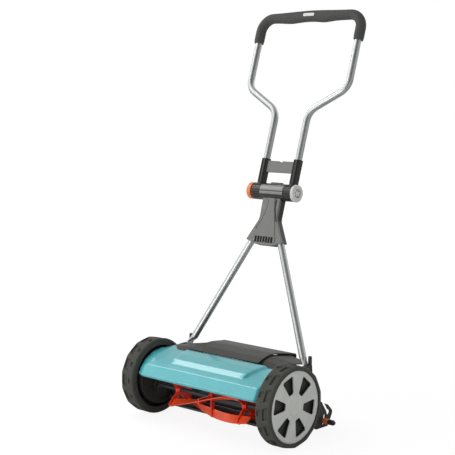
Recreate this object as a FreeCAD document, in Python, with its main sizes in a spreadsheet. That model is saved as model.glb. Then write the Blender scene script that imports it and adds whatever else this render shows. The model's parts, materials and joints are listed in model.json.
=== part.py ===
"""Hand-pushed reel mower: a parametric model in millimetres.

The frame: the origin is on the ground midway between the wheels, straight below their axis.
+X points to the mower's left-hand wheel as seen from behind it, -Y is the mowing direction, +Z is up.
Node names use "right" for the +X side and "left" for the -X side, as seen from the front.

Every size is a row of SIZES. The rows fill a spreadsheet, and the features are bound to its cells.
"""

import FreeCAD
import Part

import math
import os

import Sketcher

Vector = FreeCAD.Vector
Rotation = FreeCAD.Rotation
Placement = FreeCAD.Placement

# ----------------------------------------------------------------------------------------------
# Driving dimensions: alias, value, meaning. Lengths are in millimetres and angles in degrees.
# Places across the mower are distances from its middle plane. "_y" and "_up" are places in the frame.
# ----------------------------------------------------------------------------------------------
SIZES = [
    # running gear
    ("wheel_radius", 110, "tyre radius, and so the height of the wheel axis"),
    ("tyre_inner", 232, "inner side of the tyre"),
    ("tyre_width", 49, "tyre width"),
    ("tyre_bead_radius", 96, "radius at which the tyre sits on the rim"),
    ("tyre_lip_radius", 91, "radius of the bead lip behind the rim"),
    ("tyre_lip_width", 3, "thickness of the bead lip"),
    ("tyre_shoulder", 4, "bevel of the tread's edges"),
    ("tread_count", 24, "tread blocks round the tyre"),
    ("tread_depth", 3.2, "depth of the tread pockets"),
    ("tread_pocket", 12, "pocket length round the tyre"),
    ("tread_skew", 7, "slant of a pocket across the tyre"),
    ("tread_land", 5, "land left in the middle of the tread"),
    ("rim_length", 38, "width of the rim's barrel"),
    ("rim_wall", 6, "wall of the rim's barrel"),
    ("web_inset", 30, "rim's web outward of the tyre's inner side"),
    ("web_wall", 4, "wall of the rim's web"),
    ("hub_inset", 10, "hub's inner end outward of the tyre's inner side"),
    ("hub_length", 26, "length of the wheel hub"),
    ("hub_wall", 3.5, "wall of the wheel hub"),
    ("boss_circle", 30, "radius on which the rim's clip bosses stand"),
    ("boss_radius", 4.5, "radius of a clip boss"),
    ("cover_radius", 97.5, "radius of the wheel cover"),
    ("cover_wall", 3, "wall of the wheel cover"),
    ("cover_dish", 1.5, "how far the cover's rim stands out of its spokes"),
    ("cover_rim", 9, "width of the cover's raised rim"),
    ("cover_hub_radius", 22, "radius of the cover's hub boss"),
    ("cover_hub_height", 1.6, "height of the cover's hub boss"),
    ("cover_fit", 0.3, "gap between the cover and the tyre"),
    ("spoke_count", 6, "spokes of the wheel cover"),
    ("cover_turn", -10.5, "turn of the cover and its windows"),
    ("window_inner_radius", 36.5, "inner edge of a cover window"),
    ("window_outer_radius", 83, "outer edge of a cover window"),
    ("window_inner_half", 9, "half width of a window at its inner edge"),
    ("window_outer_half", 22.5, "half width of a window at its outer edge"),
    ("window_corner", 5, "corner radius of a window"),
    ("axle_radius", 8, "radius of the stub axle"),
    ("axle_head_radius", 13, "radius of the axle's head"),
    ("axle_head", 5, "thickness of the axle's head"),
    ("bush_wall", 3, "wall of the wheel bush"),
    ("running_fit", 0.05, "radial clearance of a shaft that turns"),
    ("clip_radius", 12, "outer radius of the axle clip"),
    ("clip_wall", 1.4, "thickness of the axle clip"),
    ("clip_groove", 1.5, "depth of the axle clip's groove"),
    ("clip_gap", 0.5, "end float of the wheel under its clip"),
    ("axle_end", 2.5, "axle beyond the clip"),
    # gear train
    ("gear_module", 1.5, "module of the wheel gear and the pinion"),
    ("ring_teeth", 48, "teeth of the gear inside the wheel"),
    ("pinion_teeth", 12, "teeth of the pinion on the reel shaft"),
    ("gear_inset", 19, "gear's inner face outward of the tyre's inner side"),
    ("gear_wall", 5, "wall behind the wheel gear's teeth"),
    ("gear_backlash", 0.3, "play between the teeth, at the pitch circle"),
    ("ring_addendum", 0.6, "height of the wheel gear's teeth inside its pitch circle, in modules"),
    ("pinion_face", 10, "face width of the pinion"),
    ("pinion_side_gap", 1.5, "gap between the pinion and the rim's web"),
    ("collar_radius", 10.4, "radius of the pinion's ratchet collar"),
    ("collar_length", 7, "length of the ratchet collar"),
    ("ratchet_radius", 8.4, "radius of the ratchet recess"),
    ("key_wall", 2.6, "thickness of the ratchet key"),
    ("key_length", 5, "length of the ratchet key along the shaft"),
    # cutting reel
    ("reel_y", -18.8, "place of the reel axis"),
    ("reel_up", 90.6, "height of the reel axis"),
    ("reel_radius", 57, "radius of the blades' cutting edges"),
    ("blade_half", 151, "half length of the blades"),
    ("reel_shift", 14, "middle of the blades to the right of the mower's middle"),
    ("blade_depth", 24, "depth of a blade strip"),
    ("blade_wall", 2.6, "thickness of a blade strip"),
    ("blade_turn", 99.7, "turn of a blade from one end to the other"),
    ("blade_count", 4, "blades of the reel"),
    ("shaft_radius", 6, "radius of the reel shaft"),
    ("spider_inset", 7, "left spider inward of the blades' left ends"),
    ("spider_spacing", 126.5, "spacing of the spiders"),
    ("spider_wall", 4, "thickness of a spider"),
    ("spider_reach", 56, "reach of a spider's arms"),
    ("spider_arm_half", 6.5, "half width of a spider's arm"),
    ("spider_hub_radius", 11, "radius of a spider's hub"),
    ("spider_hub_length", 14, "length of a spider's hub"),
    ("spider_window", 8.5, "where a web's window starts, from the arms' middle lines"),
    ("spider_band", 13.8, "width of the band outside a web's window"),
    # side plates
    ("plate_inner", 226, "inner face of a side plate"),
    ("plate_wall", 4, "wall of a side plate"),
    ("dish_radius", 79, "radius of the gear housing"),
    ("dish_lip_radius", 75, "inner radius of the gear housing's lip"),
    ("dish_lip_out", 240, "outer end of the gear housing's lip"),
    ("ring_step", 2.5, "height of the housing's stiffening rings"),
    ("ring_one_radius", 69, "radius of the outer stiffening ring"),
    ("ring_two_radius", 42, "radius of the inner stiffening ring"),
    ("ring_width", 5, "width of a stiffening ring"),
    ("axle_boss_inner", 216, "inner end of the axle boss"),
    ("axle_boss_radius", 15, "radius of the axle boss"),
    ("bearing_inner", 219, "inner end of the reel bearing"),
    ("bearing_radius", 13, "outer radius of the reel bearing"),
    ("bearing_boss_radius", 17, "radius of the bearing's boss"),
    ("bearing_shoulder", 3, "shoulder behind the bearing"),
    ("shaft_hole_radius", 8, "hole for the reel shaft in that shoulder"),
    ("arm_top_up", 194, "top of the plate's rear arm"),
    ("arm_rear_y", 130, "rear edge of the plate's arm at its top"),
    ("arm_low_up", 138, "height at which that edge bends towards the tail"),
    ("tail_top_y", 168, "where the tail meets the arm"),
    ("tail_top_up", 84, "height of that corner"),
    ("tail_low_y", 150, "front corner of the tail's underside"),
    ("tail_low_up", 8, "height of the tail's underside"),
    ("tail_rear_y", 203, "rear corner of the tail's underside"),
    ("fin_y", 124.5, "middle of the fin beside the handle's foot"),
    ("fin_up", 214, "middle of that fin's round top"),
    ("fin_half", 4.5, "half width of that fin"),
    ("boss_inner", 223.5, "inner face of the fin and of the foot's boss"),
    ("shoulder_y", 94, "where the top of the plate's arm stops rising"),
    ("foot_boss_radius", 9.5, "radius of the boss for the handle's foot"),
    ("hook_y", 203, "middle of the catcher hook"),
    ("hook_up", 47, "height of the catcher hook's middle"),
    ("hook_radius", 21, "outer radius of the catcher hook"),
    ("hook_throat", 7, "radius of the catcher hook's throat"),
    ("hook_lean", 35, "lean of the hook's mouth to the front"),
    ("hook_mouth", 0.62, "half width of the hook's mouth, in throat radii"),
    # bed knife
    ("knife_gap", 0.3, "gap between the reel and the bed knife"),
    ("knife_angle", 20, "place of the knife's edge behind the reel's lowest point"),
    ("knife_width", 23, "width of the bed knife"),
    ("knife_wall", 3, "thickness of the bed knife"),
    ("knife_overhang", 10, "how far the bed knife runs past the blades"),
    ("carrier_lip", 2, "depth of the carrier's lower lip"),
    ("carrier_wall", 4, "wall of the knife carrier"),
    ("carrier_front", 7, "carrier's front edge behind the knife's edge"),
    ("carrier_high", 20, "height of the carrier's web above the knife's edge"),
    ("carrier_beam", 10, "depth of the web where it runs on to the side plates"),
    ("tie_rod_y", 62, "place of the tie rod"),
    ("tie_rod_up", 168.5, "height of the tie rod"),
    ("tie_rod_radius", 5.5, "radius of the tie rod"),
    # cover
    ("cover_end", 229, "end of the reel cover"),
    ("cover_facet", 200, "where the cover's ends start to fall"),
    ("cover_flat", 172, "end of the cover's full profile"),
    ("cover_skin", 2.5, "wall of the reel cover"),
    ("lip_y", -100, "front of the cover's lip"),
    ("lip_low_up", 131, "lower edge of the lip"),
    ("lip_high_up", 145, "upper edge of the lip"),
    ("crease_y", -72, "crease above the lip"),
    ("crease_up", 160, "height of the crease"),
    ("band_low_y", -61, "foot of the cover's brow"),
    ("band_low_up", 175, "height of that foot"),
    ("band_high_y", -50, "top of the brow"),
    ("band_high_up", 185.5, "height of that top"),
    ("top_y", -20, "middle of the cover's roof"),
    ("top_up", 195, "height of the roof's middle"),
    ("cover_rear_y", 14, "rear edge of the cover"),
    ("cover_rear_up", 199.5, "height of the rear edge"),
    ("end_lip_y", -86, "front of the lip at the cover's ends"),
    ("end_radius", 85.5, "radius of the cover's ends round the wheel axis"),
    ("facet_fall", 8.5, "fall of the rear edge at the facets"),
    # hood and flap
    ("hood_wall", 3, "wall of the rear hood"),
    ("hood_front_up", 193.5, "height of the hood's front edge"),
    ("hood_step_y", 24, "where the hood starts to rise behind the hinge"),
    ("hood_rise_y", 46, "where that rise ends"),
    ("hood_rise_up", 203.5, "height of the hood there"),
    ("hood_mid_y", 90, "middle of the hood"),
    ("hood_mid_up", 208.6, "height of the hood's middle"),
    ("hood_rear_y", 158, "rear edge of the hood"),
    ("hood_rear_up", 200, "height of the hood's rear edge"),
    ("hood_side_rise_up", 195, "height of the hood's rise at its sides"),
    ("hood_side_mid_up", 192, "height of the hood's middle at its sides"),
    ("hood_side_rear_up", 181, "height of the hood's rear edge at its sides"),
    ("hood_shoulder", 134, "where the hood's shoulders start to fall"),
    ("hood_front_gap", 0.6, "gap between the hood and the cover"),
    ("hood_opening_half", 108, "half width of the opening below the flap"),
    ("hood_opening_front_y", 30, "front of that opening"),
    ("hood_opening_rear_y", 146, "rear of that opening"),
    ("hood_foot_half", 194, "half width of the hood beside the handle's feet"),
    ("hood_foot_y", 84, "where the hood narrows for the handle's feet"),
    ("flap_wall", 3, "wall of the flap"),
    ("flap_front_y", 17, "front edge of the flap"),
    ("flap_front_up", 203.5, "height of the flap's front edge"),
    ("flap_front_half", 134, "half width of the flap's front edge"),
    ("flap_waist_y", 88, "narrowest place of the flap"),
    ("flap_waist_half", 116, "half width of the flap there"),
    ("flap_crown_y", 100, "highest place of the flap"),
    ("flap_crown_up", 214, "height of the flap there"),
    ("flap_shoulder_y", 50, "shoulder of the flap"),
    ("flap_shoulder_up", 210, "height of the shoulder"),
    ("flap_rear_y", 178, "rear edge of the flap"),
    ("flap_rear_up", 203, "height of the flap's rear edge"),
    ("flap_rear_half", 136, "half width of the flap's rear edge"),
    ("flap_skirt", 12, "depth of the flap's rear skirt"),
    ("hinge_pin_y", 19, "place of the flap's hinge pin"),
    ("hinge_pin_up", 197.4, "height of the flap's hinge pin"),
    ("hinge_pin_radius", 1.5, "radius of the flap's hinge pin"),
    ("hinge_eye", 2.8, "wall of a hinge eye round the pin's middle line"),
    ("hinge_eye_x", 96, "place of the hood's hinge eyes"),
    ("hinge_eye_length", 12, "length of a hinge eye"),
    ("hinge_eye_gap", 0.4, "gap between the hood's eyes and the flap's"),
    # roller and cutting height
    ("roller_y", 109, "place of the roller"),
    ("roller_radius", 19, "radius of the roller"),
    ("roller_half", 198, "half length of the roller"),
    ("roller_wall", 2.5, "wall of the roller"),
    ("plug_length", 12, "length of a roller plug"),
    ("roller_shaft_radius", 5, "radius of the roller's shaft"),
    ("roller_arm_inner", 206, "inner face of a roller arm"),
    ("roller_arm_wall", 6, "thickness of a roller arm"),
    ("roller_arm_half", 11, "half width of a roller arm"),
    ("arm_pivot_y", 45, "place of the roller arm's pivot"),
    ("arm_pivot_up", 62, "height of the roller arm's pivot"),
    ("arm_pivot_radius", 5, "radius of the roller arm's pivot bolt"),
    ("latch_y", 184, "place of the latch"),
    ("latch_up", 26, "height of the latch"),
    ("latch_pin_radius", 3.5, "radius of the latch pin"),
    ("latch_sleeve_radius", 8.5, "radius of the latch's sleeve"),
    ("latch_sleeve_length", 15, "length of the latch's sleeve"),
    ("latch_knob_radius", 7.5, "radius of the latch's knob"),
    ("latch_knob_length", 22, "length of the latch's knob"),
    ("latch_gap", 0.4, "gap between the sleeve and the plate"),
    ("latch_up_angle", 6, "travel of the roller arm upwards"),
    ("latch_down_angle", 3, "travel of the roller arm downwards"),
    ("slot_fit", 0.6, "gap round the latch pin in its slot"),
    # lower handle
    ("hinge_y", 243.7, "place of the folding hinge"),
    ("hinge_up", 645.3, "height of the folding hinge"),
    ("lower_lean", 16.1, "lean of the lower handle"),
    ("tube_radius", 10, "radius of the handle tubes"),
    ("tube_wall", 1.5, "wall of the handle tubes"),
    ("lower_spread", 0.5, "how far the lower tubes spread, a millimetre down"),
    ("lower_cross", 18.95, "how far the tubes' lines are past the middle at the hinge"),
    ("lower_top", 130, "upper end of the lower tubes, below the hinge"),
    ("lower_straight", 452, "lower end of the round tube, below the hinge"),
    ("foot_down", 480, "pivot of the handle's feet, below the hinge"),
    ("foot_outer", 223, "outer face of the flattened foot"),
    ("foot_wall", 4, "thickness of the flattened foot"),
    ("foot_half", 12, "half width of the flattened foot"),
    ("foot_rise", 12, "height of the foot's flat above its pivot"),
    ("foot_bolt_radius", 4, "radius of the foot's bolt"),
    ("foot_head_radius", 8, "radius of the bolt's head"),
    ("foot_head", 5, "height of the bolt's head"),
    ("yoke_half_wall", 13.5, "from the tubes' middle plane to the yoke's front and rear faces"),
    ("yoke_split", 5, "joint between the yoke's shells, in front of the tubes' middle plane"),
    ("yoke_top_down", 20, "upper end of the yoke, below the hinge"),
    ("yoke_top_half", 32, "half width of the yoke at its top"),
    ("yoke_waist_down", 82, "waist of the yoke"),
    ("yoke_waist_half", 31, "half width of the waist"),
    ("yoke_foot_down", 146, "outer corner of the yoke's leg"),
    ("yoke_foot_half", 66.4, "half width there"),
    ("yoke_heel_down", 152, "inner corner of the yoke's leg"),
    ("yoke_heel_half", 44, "half width there"),
    ("yoke_chin_down", 157, "lower edge of the yoke's middle"),
    ("yoke_chin_half", 30, "half width of that edge"),
    ("vent_half", 35, "half width of the ribbed recess"),
    ("vent_top_down", 133, "upper edge of the ribbed recess"),
    ("vent_low_down", 150, "lower edge of the ribbed recess"),
    ("vent_depth", 4, "depth of the ribbed recess"),
    ("vent_rib", 2.4, "width of a rib in that recess"),
    ("vent_rib_count", 7, "ribs in that recess"),
    ("panel_relief", 1.6, "height of the yoke's middle panel"),
    ("panel_top_half", 13, "half width of that panel at its top"),
    ("panel_waist_half", 17, "half width of that panel at the waist"),
    ("panel_foot_half", 42, "half width of that panel at its foot"),
    # folding hinge
    ("barrel_radius", 24.5, "radius of the hinge barrel"),
    ("barrel_half", 45, "half length of the middle barrel"),
    ("knuckle_gap", 0.4, "gap between the barrels"),
    ("knuckle_end", 73.5, "outer end of the outer barrels"),
    ("rod_radius", 6, "radius of the hinge rod"),
    ("groove_count", 20, "grip grooves round an outer barrel"),
    ("groove_depth", 1.6, "depth of a grip groove"),
    ("groove_half", 1.4, "half width of a grip groove"),
    ("end_cap_length", 9, "length of the end cap"),
    ("end_cap_radius", 25, "radius of the end cap"),
    ("end_cap_recess_radius", 13, "radius of the recess in the end cap"),
    ("end_cap_recess", 5, "depth of that recess"),
    ("button_length", 14, "length of the release button outside the barrel"),
    ("button_radius", 24.3, "radius of the release button"),
    ("button_stem_radius", 14, "radius of the button's stem"),
    ("button_stem", 16, "length of the button's stem"),
    ("button_travel", 5, "travel of the release button"),
    ("button_fit", 0.3, "gap round the release button"),
    ("thumb_rest_half", 20, "half length of the rest on top of the barrel"),
    ("thumb_rest_height", 3, "height of that rest"),
    # upper handle
    ("upper_lean", 17.5, "lean of the upper handle"),
    ("upper_half", 60, "half spacing of the upper tubes at the hinge"),
    ("socket_radius", 13.4, "outer radius of a tube socket"),
    ("socket_top", 97, "upper end of the sockets, above the hinge"),
    ("socket_floor", 42, "lower end of the tube in its socket"),
    ("socket_groove_half", 5, "half width of the groove down a socket's front"),
    ("socket_groove", 3, "depth of that groove"),
    ("bridge_low", 58, "lower edge of the bridge plate"),
    ("bridge_high", 91, "upper edge of the bridge plate"),
    ("bridge_half_wall", 5, "half thickness of the bridge plate"),
    ("bridge_notch_half", 7, "half width of the notch in the bridge plate"),
    ("bridge_notch", 4, "depth of that notch"),
    ("flare_low", 242, "corner where the upper tubes flare out"),
    ("flare_high", 313, "corner where they run on to the grip"),
    ("flare_radius", 48, "bend radius of those corners"),
    ("arm_half", 185.5, "half spacing of the tubes at the grip"),
    ("grip_up", 532, "height of the grip's bar above the hinge"),
    ("grip_bend", 42, "bend radius of the tube's upper corners"),
    ("grip_radius", 17, "radius of the grip"),
    ("grip_low", 454, "lower ends of the grip"),
    ("badge_x", -1, "middle of the plain badge"),
    ("badge_half", 21, "half length of the badge"),
    ("badge_height", 11.5, "height of the badge"),
    ("badge_low", 1.75, "lower edge of the badge below the bar's middle"),
    ("badge_rise", 0.8, "how far the badge stands out of the grip"),
    # fasteners
    ("screw_radius", 2.5, "radius of the small screws"),
    ("screw_head_radius", 4.5, "radius of their heads"),
    ("screw_head", 2.4, "height of their heads"),
]

doc = FreeCAD.newDocument("ReelMower")
sheet = doc.addObject("Spreadsheet::Sheet", "Sizes")
for row, (alias, number, meaning) in enumerate(SIZES, start=1):
    sheet.set(f"A{row}", str(number))
    sheet.setAlias(f"A{row}", alias)
    sheet.set(f"B{row}", meaning)
doc.recompute()

SIDES = (("left", -1), ("right", 1))
nodes = []


def value(expression):
    """Return the number that an expression over the sheet's aliases comes to."""
    return float(sheet.evalExpression(str(expression)))


def bound(expression):
    """Return the expression as other objects have to write it, with each alias led by the sheet's name."""
    text = str(expression)
    for alias in sorted((row[0] for row in SIZES), key=len, reverse=True):
        text = _prefix(text, alias)
    return text


def _prefix(text, alias):
    """Put the sheet's name in front of one alias wherever it stands as a whole word."""
    out, start = "", 0
    while True:
        at = text.find(alias, start)
        if at < 0:
            return out + text[start:]
        before = text[at - 1] if at else " "
        after = text[at + len(alias):at + len(alias) + 1] or " "
        whole = not (before.isalnum() or before in "._") and not (after.isalnum() or after == "_")
        out += text[start:at] + ("Sizes." if whole else "") + alias
        start = at + len(alias)


def bind(thing, path, expression):
    """Bind one property to an expression over the sheet."""
    thing.setExpression(path, bound(expression))


def node(thing, name):
    """Name a finished sub-part, which is written to parts/NAME.step."""
    thing.Label = name
    nodes.append(thing)
    return thing


# ----------------------------------------------------------------------------------------------
# Sketches and features
# ----------------------------------------------------------------------------------------------
def new_body(name):
    """Start a body."""
    return doc.addObject("PartDesign::Body", name)


def new_sketch(body, plane, across="0", up="0", out="0", turn="0"):
    """Put a sketch on one of the body's origin planes, moved along its own axes and turned about its normal."""
    sketch = body.newObject("Sketcher::SketchObject", "Sketch")
    support = next(part for part in body.Origin.OriginFeatures if part.Role == plane)
    sketch.AttachmentSupport = [(support, "")]
    sketch.MapMode = "FlatFace"
    sketch.AttachmentOffset = Placement(Vector(), Rotation(Vector(0, 0, 1), 0))
    for path, expression in (("x", across), ("y", up), ("z", out)):
        bind(sketch, f"AttachmentOffset.Base.{path}", expression)
    if str(turn) != "0":
        bind(sketch, "AttachmentOffset.Rotation.Angle", turn)
    return sketch


def hold(sketch, kind, geometry, point, expression):
    """Hold a point at a distance from the sketch's origin, bound to the sheet."""
    index = sketch.addConstraint(Sketcher.Constraint(kind, -1, 1, geometry, point, value(expression)))
    bind(sketch, f"Constraints[{index}]", expression)


def hold_radius(sketch, geometry, expression):
    """Hold an arc's or a circle's radius, bound to the sheet."""
    index = sketch.addConstraint(Sketcher.Constraint("Radius", geometry, value(expression)))
    bind(sketch, f"Constraints[{index}]", expression)


def add_circle(sketch, across, up, radius):
    """Draw a circle whose centre and radius are bound to the sheet."""
    centre = Vector(value(across), value(up), 0)
    circle = sketch.addGeometry(Part.Circle(centre, Vector(0, 0, 1), value(radius)), False)
    hold(sketch, "DistanceX", circle, 3, across)
    hold(sketch, "DistanceY", circle, 3, up)
    hold_radius(sketch, circle, radius)
    return sketch


def add_loop(sketch, corners):
    """Draw a closed outline. A corner is (across, up) or (across, up, radius), all bound to the sheet."""
    points = [Vector(value(corner[0]), value(corner[1]), 0) for corner in corners]
    radii = [value(corner[2]) if len(corner) > 2 else 0.0 for corner in corners]
    count = len(corners)
    cuts = [_tangent_length(points[i - 1], points[i], points[(i + 1) % count], radii[i]) for i in range(count)]
    lines = []
    for i in range(count):
        start, end = points[i], points[(i + 1) % count]
        along = (end - start).normalize()
        line = Part.LineSegment(start + along * cuts[i], end - along * cuts[(i + 1) % count])
        lines.append(sketch.addGeometry(line, False))
    for i in range(count):
        before, after = lines[i - 1], lines[i]
        if not radii[i]:
            sketch.addConstraint(Sketcher.Constraint("Coincident", before, 2, after, 1))
            hold(sketch, "DistanceX", after, 1, corners[i][0])
            hold(sketch, "DistanceY", after, 1, corners[i][1])
            continue
        _round_corner(sketch, before, after, corners[i], points[i], radii[i])
    return sketch


def _tangent_length(before, corner, after, radius):
    """Return how much a rounding takes off each side of a corner."""
    if not radius:
        return 0.0
    return radius / math.tan((before - corner).getAngle(after - corner) / 2)


def _round_corner(sketch, before, after, corner, point, radius):
    """Join two lines of an outline by a tangent arc, and hold the sharp corner where they would meet."""
    start = sketch.Geometry[before].EndPoint
    end = sketch.Geometry[after].StartPoint
    inward = ((start - point).normalize() + (end - point).normalize()).normalize()
    half = (start - point).getAngle(end - point) / 2
    centre = point + inward * (radius / math.sin(half))
    first, last = (math.atan2(place.y - centre.y, place.x - centre.x) for place in (start, end))
    left_turn = (last - first) % (2 * math.pi) < math.pi
    sweep = (first, last) if left_turn else (last, first)
    arc = Part.ArcOfCircle(Part.Circle(centre, Vector(0, 0, 1), radius), *sweep)
    index = sketch.addGeometry(arc, False)
    ends = (1, 2) if left_turn else (2, 1)
    sketch.addConstraint(Sketcher.Constraint("Tangent", before, 2, index, ends[0]))
    sketch.addConstraint(Sketcher.Constraint("Tangent", index, ends[1], after, 1))
    hold_radius(sketch, index, corner[2])
    mark = sketch.addGeometry(Part.Point(point), True)
    hold(sketch, "DistanceX", mark, 1, corner[0])
    hold(sketch, "DistanceY", mark, 1, corner[1])
    sketch.addConstraint(Sketcher.Constraint("PointOnObject", mark, 1, before))
    sketch.addConstraint(Sketcher.Constraint("PointOnObject", mark, 1, after))


def pad(body, sketch, length, reverse=False, both=False):
    """Pad a sketch by a length bound to the sheet."""
    feature = body.newObject("PartDesign::Pad", "Pad")
    feature.Profile = sketch
    if both:
        feature.SideType = "Symmetric"
    feature.Reversed = reverse
    bind(feature, "Length", length)
    doc.recompute()
    return feature


def pocket(body, sketch, length, reverse=False, both=False):
    """Cut a sketch to a depth bound to the sheet, and make sure that it took something away."""
    before = body.Shape.Volume
    feature = body.newObject("PartDesign::Pocket", "Pocket")
    feature.Profile = sketch
    if both:
        feature.SideType = "Symmetric"
    feature.Reversed = reverse
    bind(feature, "Length", length)
    doc.recompute()
    if body.Shape.Volume >= before:
        raise ValueError(f"a pocket of {body.Name} cuts nothing")
    return feature


def revolve(body, sketch):
    """Turn a sketch right round its own horizontal axis."""
    feature = body.newObject("PartDesign::Revolution", "Revolution")
    feature.Profile = sketch
    feature.ReferenceAxis = (sketch, ["H_Axis"])
    feature.Angle = 360
    doc.recompute()
    return feature


def polar_pattern(body, feature, axis, count):
    """Repeat a feature round an axis, as many times as the sheet says."""
    pattern = body.newObject("PartDesign::PolarPattern", "PolarPattern")
    pattern.Originals = [feature]
    pattern.Axis = axis
    pattern.Angle = 360
    bind(pattern, "Occurrences", count)
    body.Tip = pattern
    doc.recompute()
    return pattern


# Places that follow from others.
WEB_INNER = "(tyre_inner + web_inset)"
HUB_INNER = "(tyre_inner + hub_inset)"
GEAR_INNER = "(tyre_inner + gear_inset)"
BLADE_TWIST = "(blade_turn / (2 * blade_half))"
BLADE_START = "(reel_shift - blade_half)"
BLADE_END = "(reel_shift + blade_half)"
SPIDER_START = f"({BLADE_START} + spider_inset)"


def wheel_sketch(body):
    """Start a section through the wheel axis: across the mower, and out from the axis."""
    return new_sketch(body, "XY_Plane", out="wheel_radius")


def side_sketch(body, sign, out, across="0", up="0", turn="0"):
    """Start a sketch seen from the side, at a distance from the mower's middle plane."""
    return new_sketch(body, "YZ_Plane", across=across, up=up, out=f"{sign} * ({out})", turn=turn)


def cylinder_across(body, sign, y, up, radius, start, length):
    """Add a cylinder that lies across the mower and starts at a distance from its middle plane."""
    return pad(body, add_circle(side_sketch(body, sign, start), y, up, radius), length, reverse=sign < 0)


def hole_across(body, sign, y, up, radius, start, length):
    """Cut a hole that lies across the mower, outwards from a distance from its middle plane."""
    return pocket(body, add_circle(side_sketch(body, sign, start), y, up, radius), length, reverse=sign > 0)


def solid_node(name, shape, place=None):
    """Store a solid that Part's own functions made, and then place it."""
    thing = doc.addObject("Part::Feature", name)
    thing.Shape = shape
    if place is not None:
        thing.Placement = place
    return node(thing, name)


def cut(name, base, tools):
    """Take other objects' solids away from an object."""
    if len(tools) == 1:
        tool = tools[0]
    else:
        tool = doc.addObject("Part::Compound", f"{name}_tools")
        tool.Links = tools
    thing = doc.addObject("Part::Cut", name)
    thing.Base = base
    thing.Tool = tool
    doc.recompute()
    return thing


# ----------------------------------------------------------------------------------------------
# Gear teeth
# ----------------------------------------------------------------------------------------------
PRESSURE_ANGLE = math.radians(20)


def involute_half_angle(pitch_radius, radius, pitch_half_angle):
    """Return half the angle that a tooth spans at a radius, from its half angle at the pitch circle."""
    base = pitch_radius * math.cos(PRESSURE_ANGLE)
    pressure = math.acos(min(1.0, base / radius))
    rolled = math.tan(pressure) - pressure
    rolled_at_pitch = math.tan(PRESSURE_ANGLE) - PRESSURE_ANGLE
    return pitch_half_angle + rolled_at_pitch - rolled


def gear_wire(teeth, pitch_radius, root_radius, tip_radius, thickness, first_angle):
    """Return the outline of a gear in the YZ plane about the origin, one tooth centred on first_angle."""
    half = thickness / (2 * pitch_radius)
    flank = [root_radius + (tip_radius - root_radius) * share for share in (0, 0.5, 1)]
    steps = [(radius, involute_half_angle(pitch_radius, radius, half)) for radius in flank]
    edges = []
    last = None
    for tooth in range(teeth + 1):
        middle = first_angle + 2 * math.pi * tooth / teeth
        rising = [_on_circle(radius, middle - angle) for radius, angle in steps]
        falling = [_on_circle(radius, middle + angle) for radius, angle in reversed(steps)]
        if last is not None:
            edges.append(Part.makeLine(last, rising[0]))
        if tooth == teeth:
            break
        edges.append(Part.Arc(*rising).toShape())
        edges.append(Part.makeLine(rising[-1], falling[0]))
        edges.append(Part.Arc(*falling).toShape())
        last = falling[-1]
    return Part.Wire(edges)


def _on_circle(radius, angle):
    """Return a point of the YZ plane at a radius and an angle from +Y towards +Z."""
    return Vector(0, radius * math.cos(angle), radius * math.sin(angle))


PITCH = math.pi * value("gear_module")
RING_PITCH_RADIUS = value("gear_module * ring_teeth / 2")
PINION_PITCH_RADIUS = value("gear_module * pinion_teeth / 2")
MESH_ANGLE = math.atan2(value("reel_up - wheel_radius"), value("reel_y"))
FLANK_PLAY = value("gear_backlash / 2")


# ----------------------------------------------------------------------------------------------
# Wheels
# ----------------------------------------------------------------------------------------------
def make_tyre(side, sign):
    """Moulded tyre: a revolved section with two rows of slanted tread pockets, open at the shoulders."""
    body = new_body(f"{side}_tyre")
    inner, outer = "tyre_inner", "tyre_inner + tyre_width"
    bead = "tyre_inner + tyre_lip_width"
    seat = "tyre_inner + tyre_lip_width + rim_length"
    section = wheel_sketch(body)
    add_loop(section, [
        (f"{sign} * ({inner})", "tyre_lip_radius"),
        (f"{sign} * ({bead})", "tyre_lip_radius"),
        (f"{sign} * ({bead})", "tyre_bead_radius"),
        (f"{sign} * ({seat})", "tyre_bead_radius"),
        (f"{sign} * ({seat})", "cover_radius + cover_fit"),
        (f"{sign} * ({outer})", "cover_radius + cover_fit"),
        (f"{sign} * ({outer})", "wheel_radius - tyre_shoulder"),
        (f"{sign} * ({outer} - tyre_shoulder)", "wheel_radius"),
        (f"{sign} * ({inner} + tyre_shoulder)", "wheel_radius"),
        (f"{sign} * ({inner})", "wheel_radius - tyre_shoulder"),
    ])
    revolve(body, section)
    middle = "(tyre_inner + tyre_width / 2)"
    pitch = "(3.14159 * wheel_radius / tread_count)"
    rows = (
        (f"{middle} + tread_land / 2", f"{outer} + tread_land", "-1 * tread_skew"),
        (f"{middle} - tread_land / 2", f"{inner} - tread_land", f"{pitch} - tread_skew"),
    )
    for near, far, start in rows:
        outline = new_sketch(body, "XY_Plane", out="2 * wheel_radius")
        add_loop(outline, [
            (f"{sign} * ({near})", f"{start} - tread_pocket / 2"),
            (f"{sign} * ({far})", f"{start} - tread_pocket / 2 + tread_skew"),
            (f"{sign} * ({far})", f"{start} + tread_pocket / 2 + tread_skew"),
            (f"{sign} * ({near})", f"{start} + tread_pocket / 2"),
        ])
        feature = pocket(body, outline, "tread_depth")
        polar_pattern(body, feature, (section, ["H_Axis"]), "tread_count")
    return node(body, f"{side}_tyre")


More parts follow.
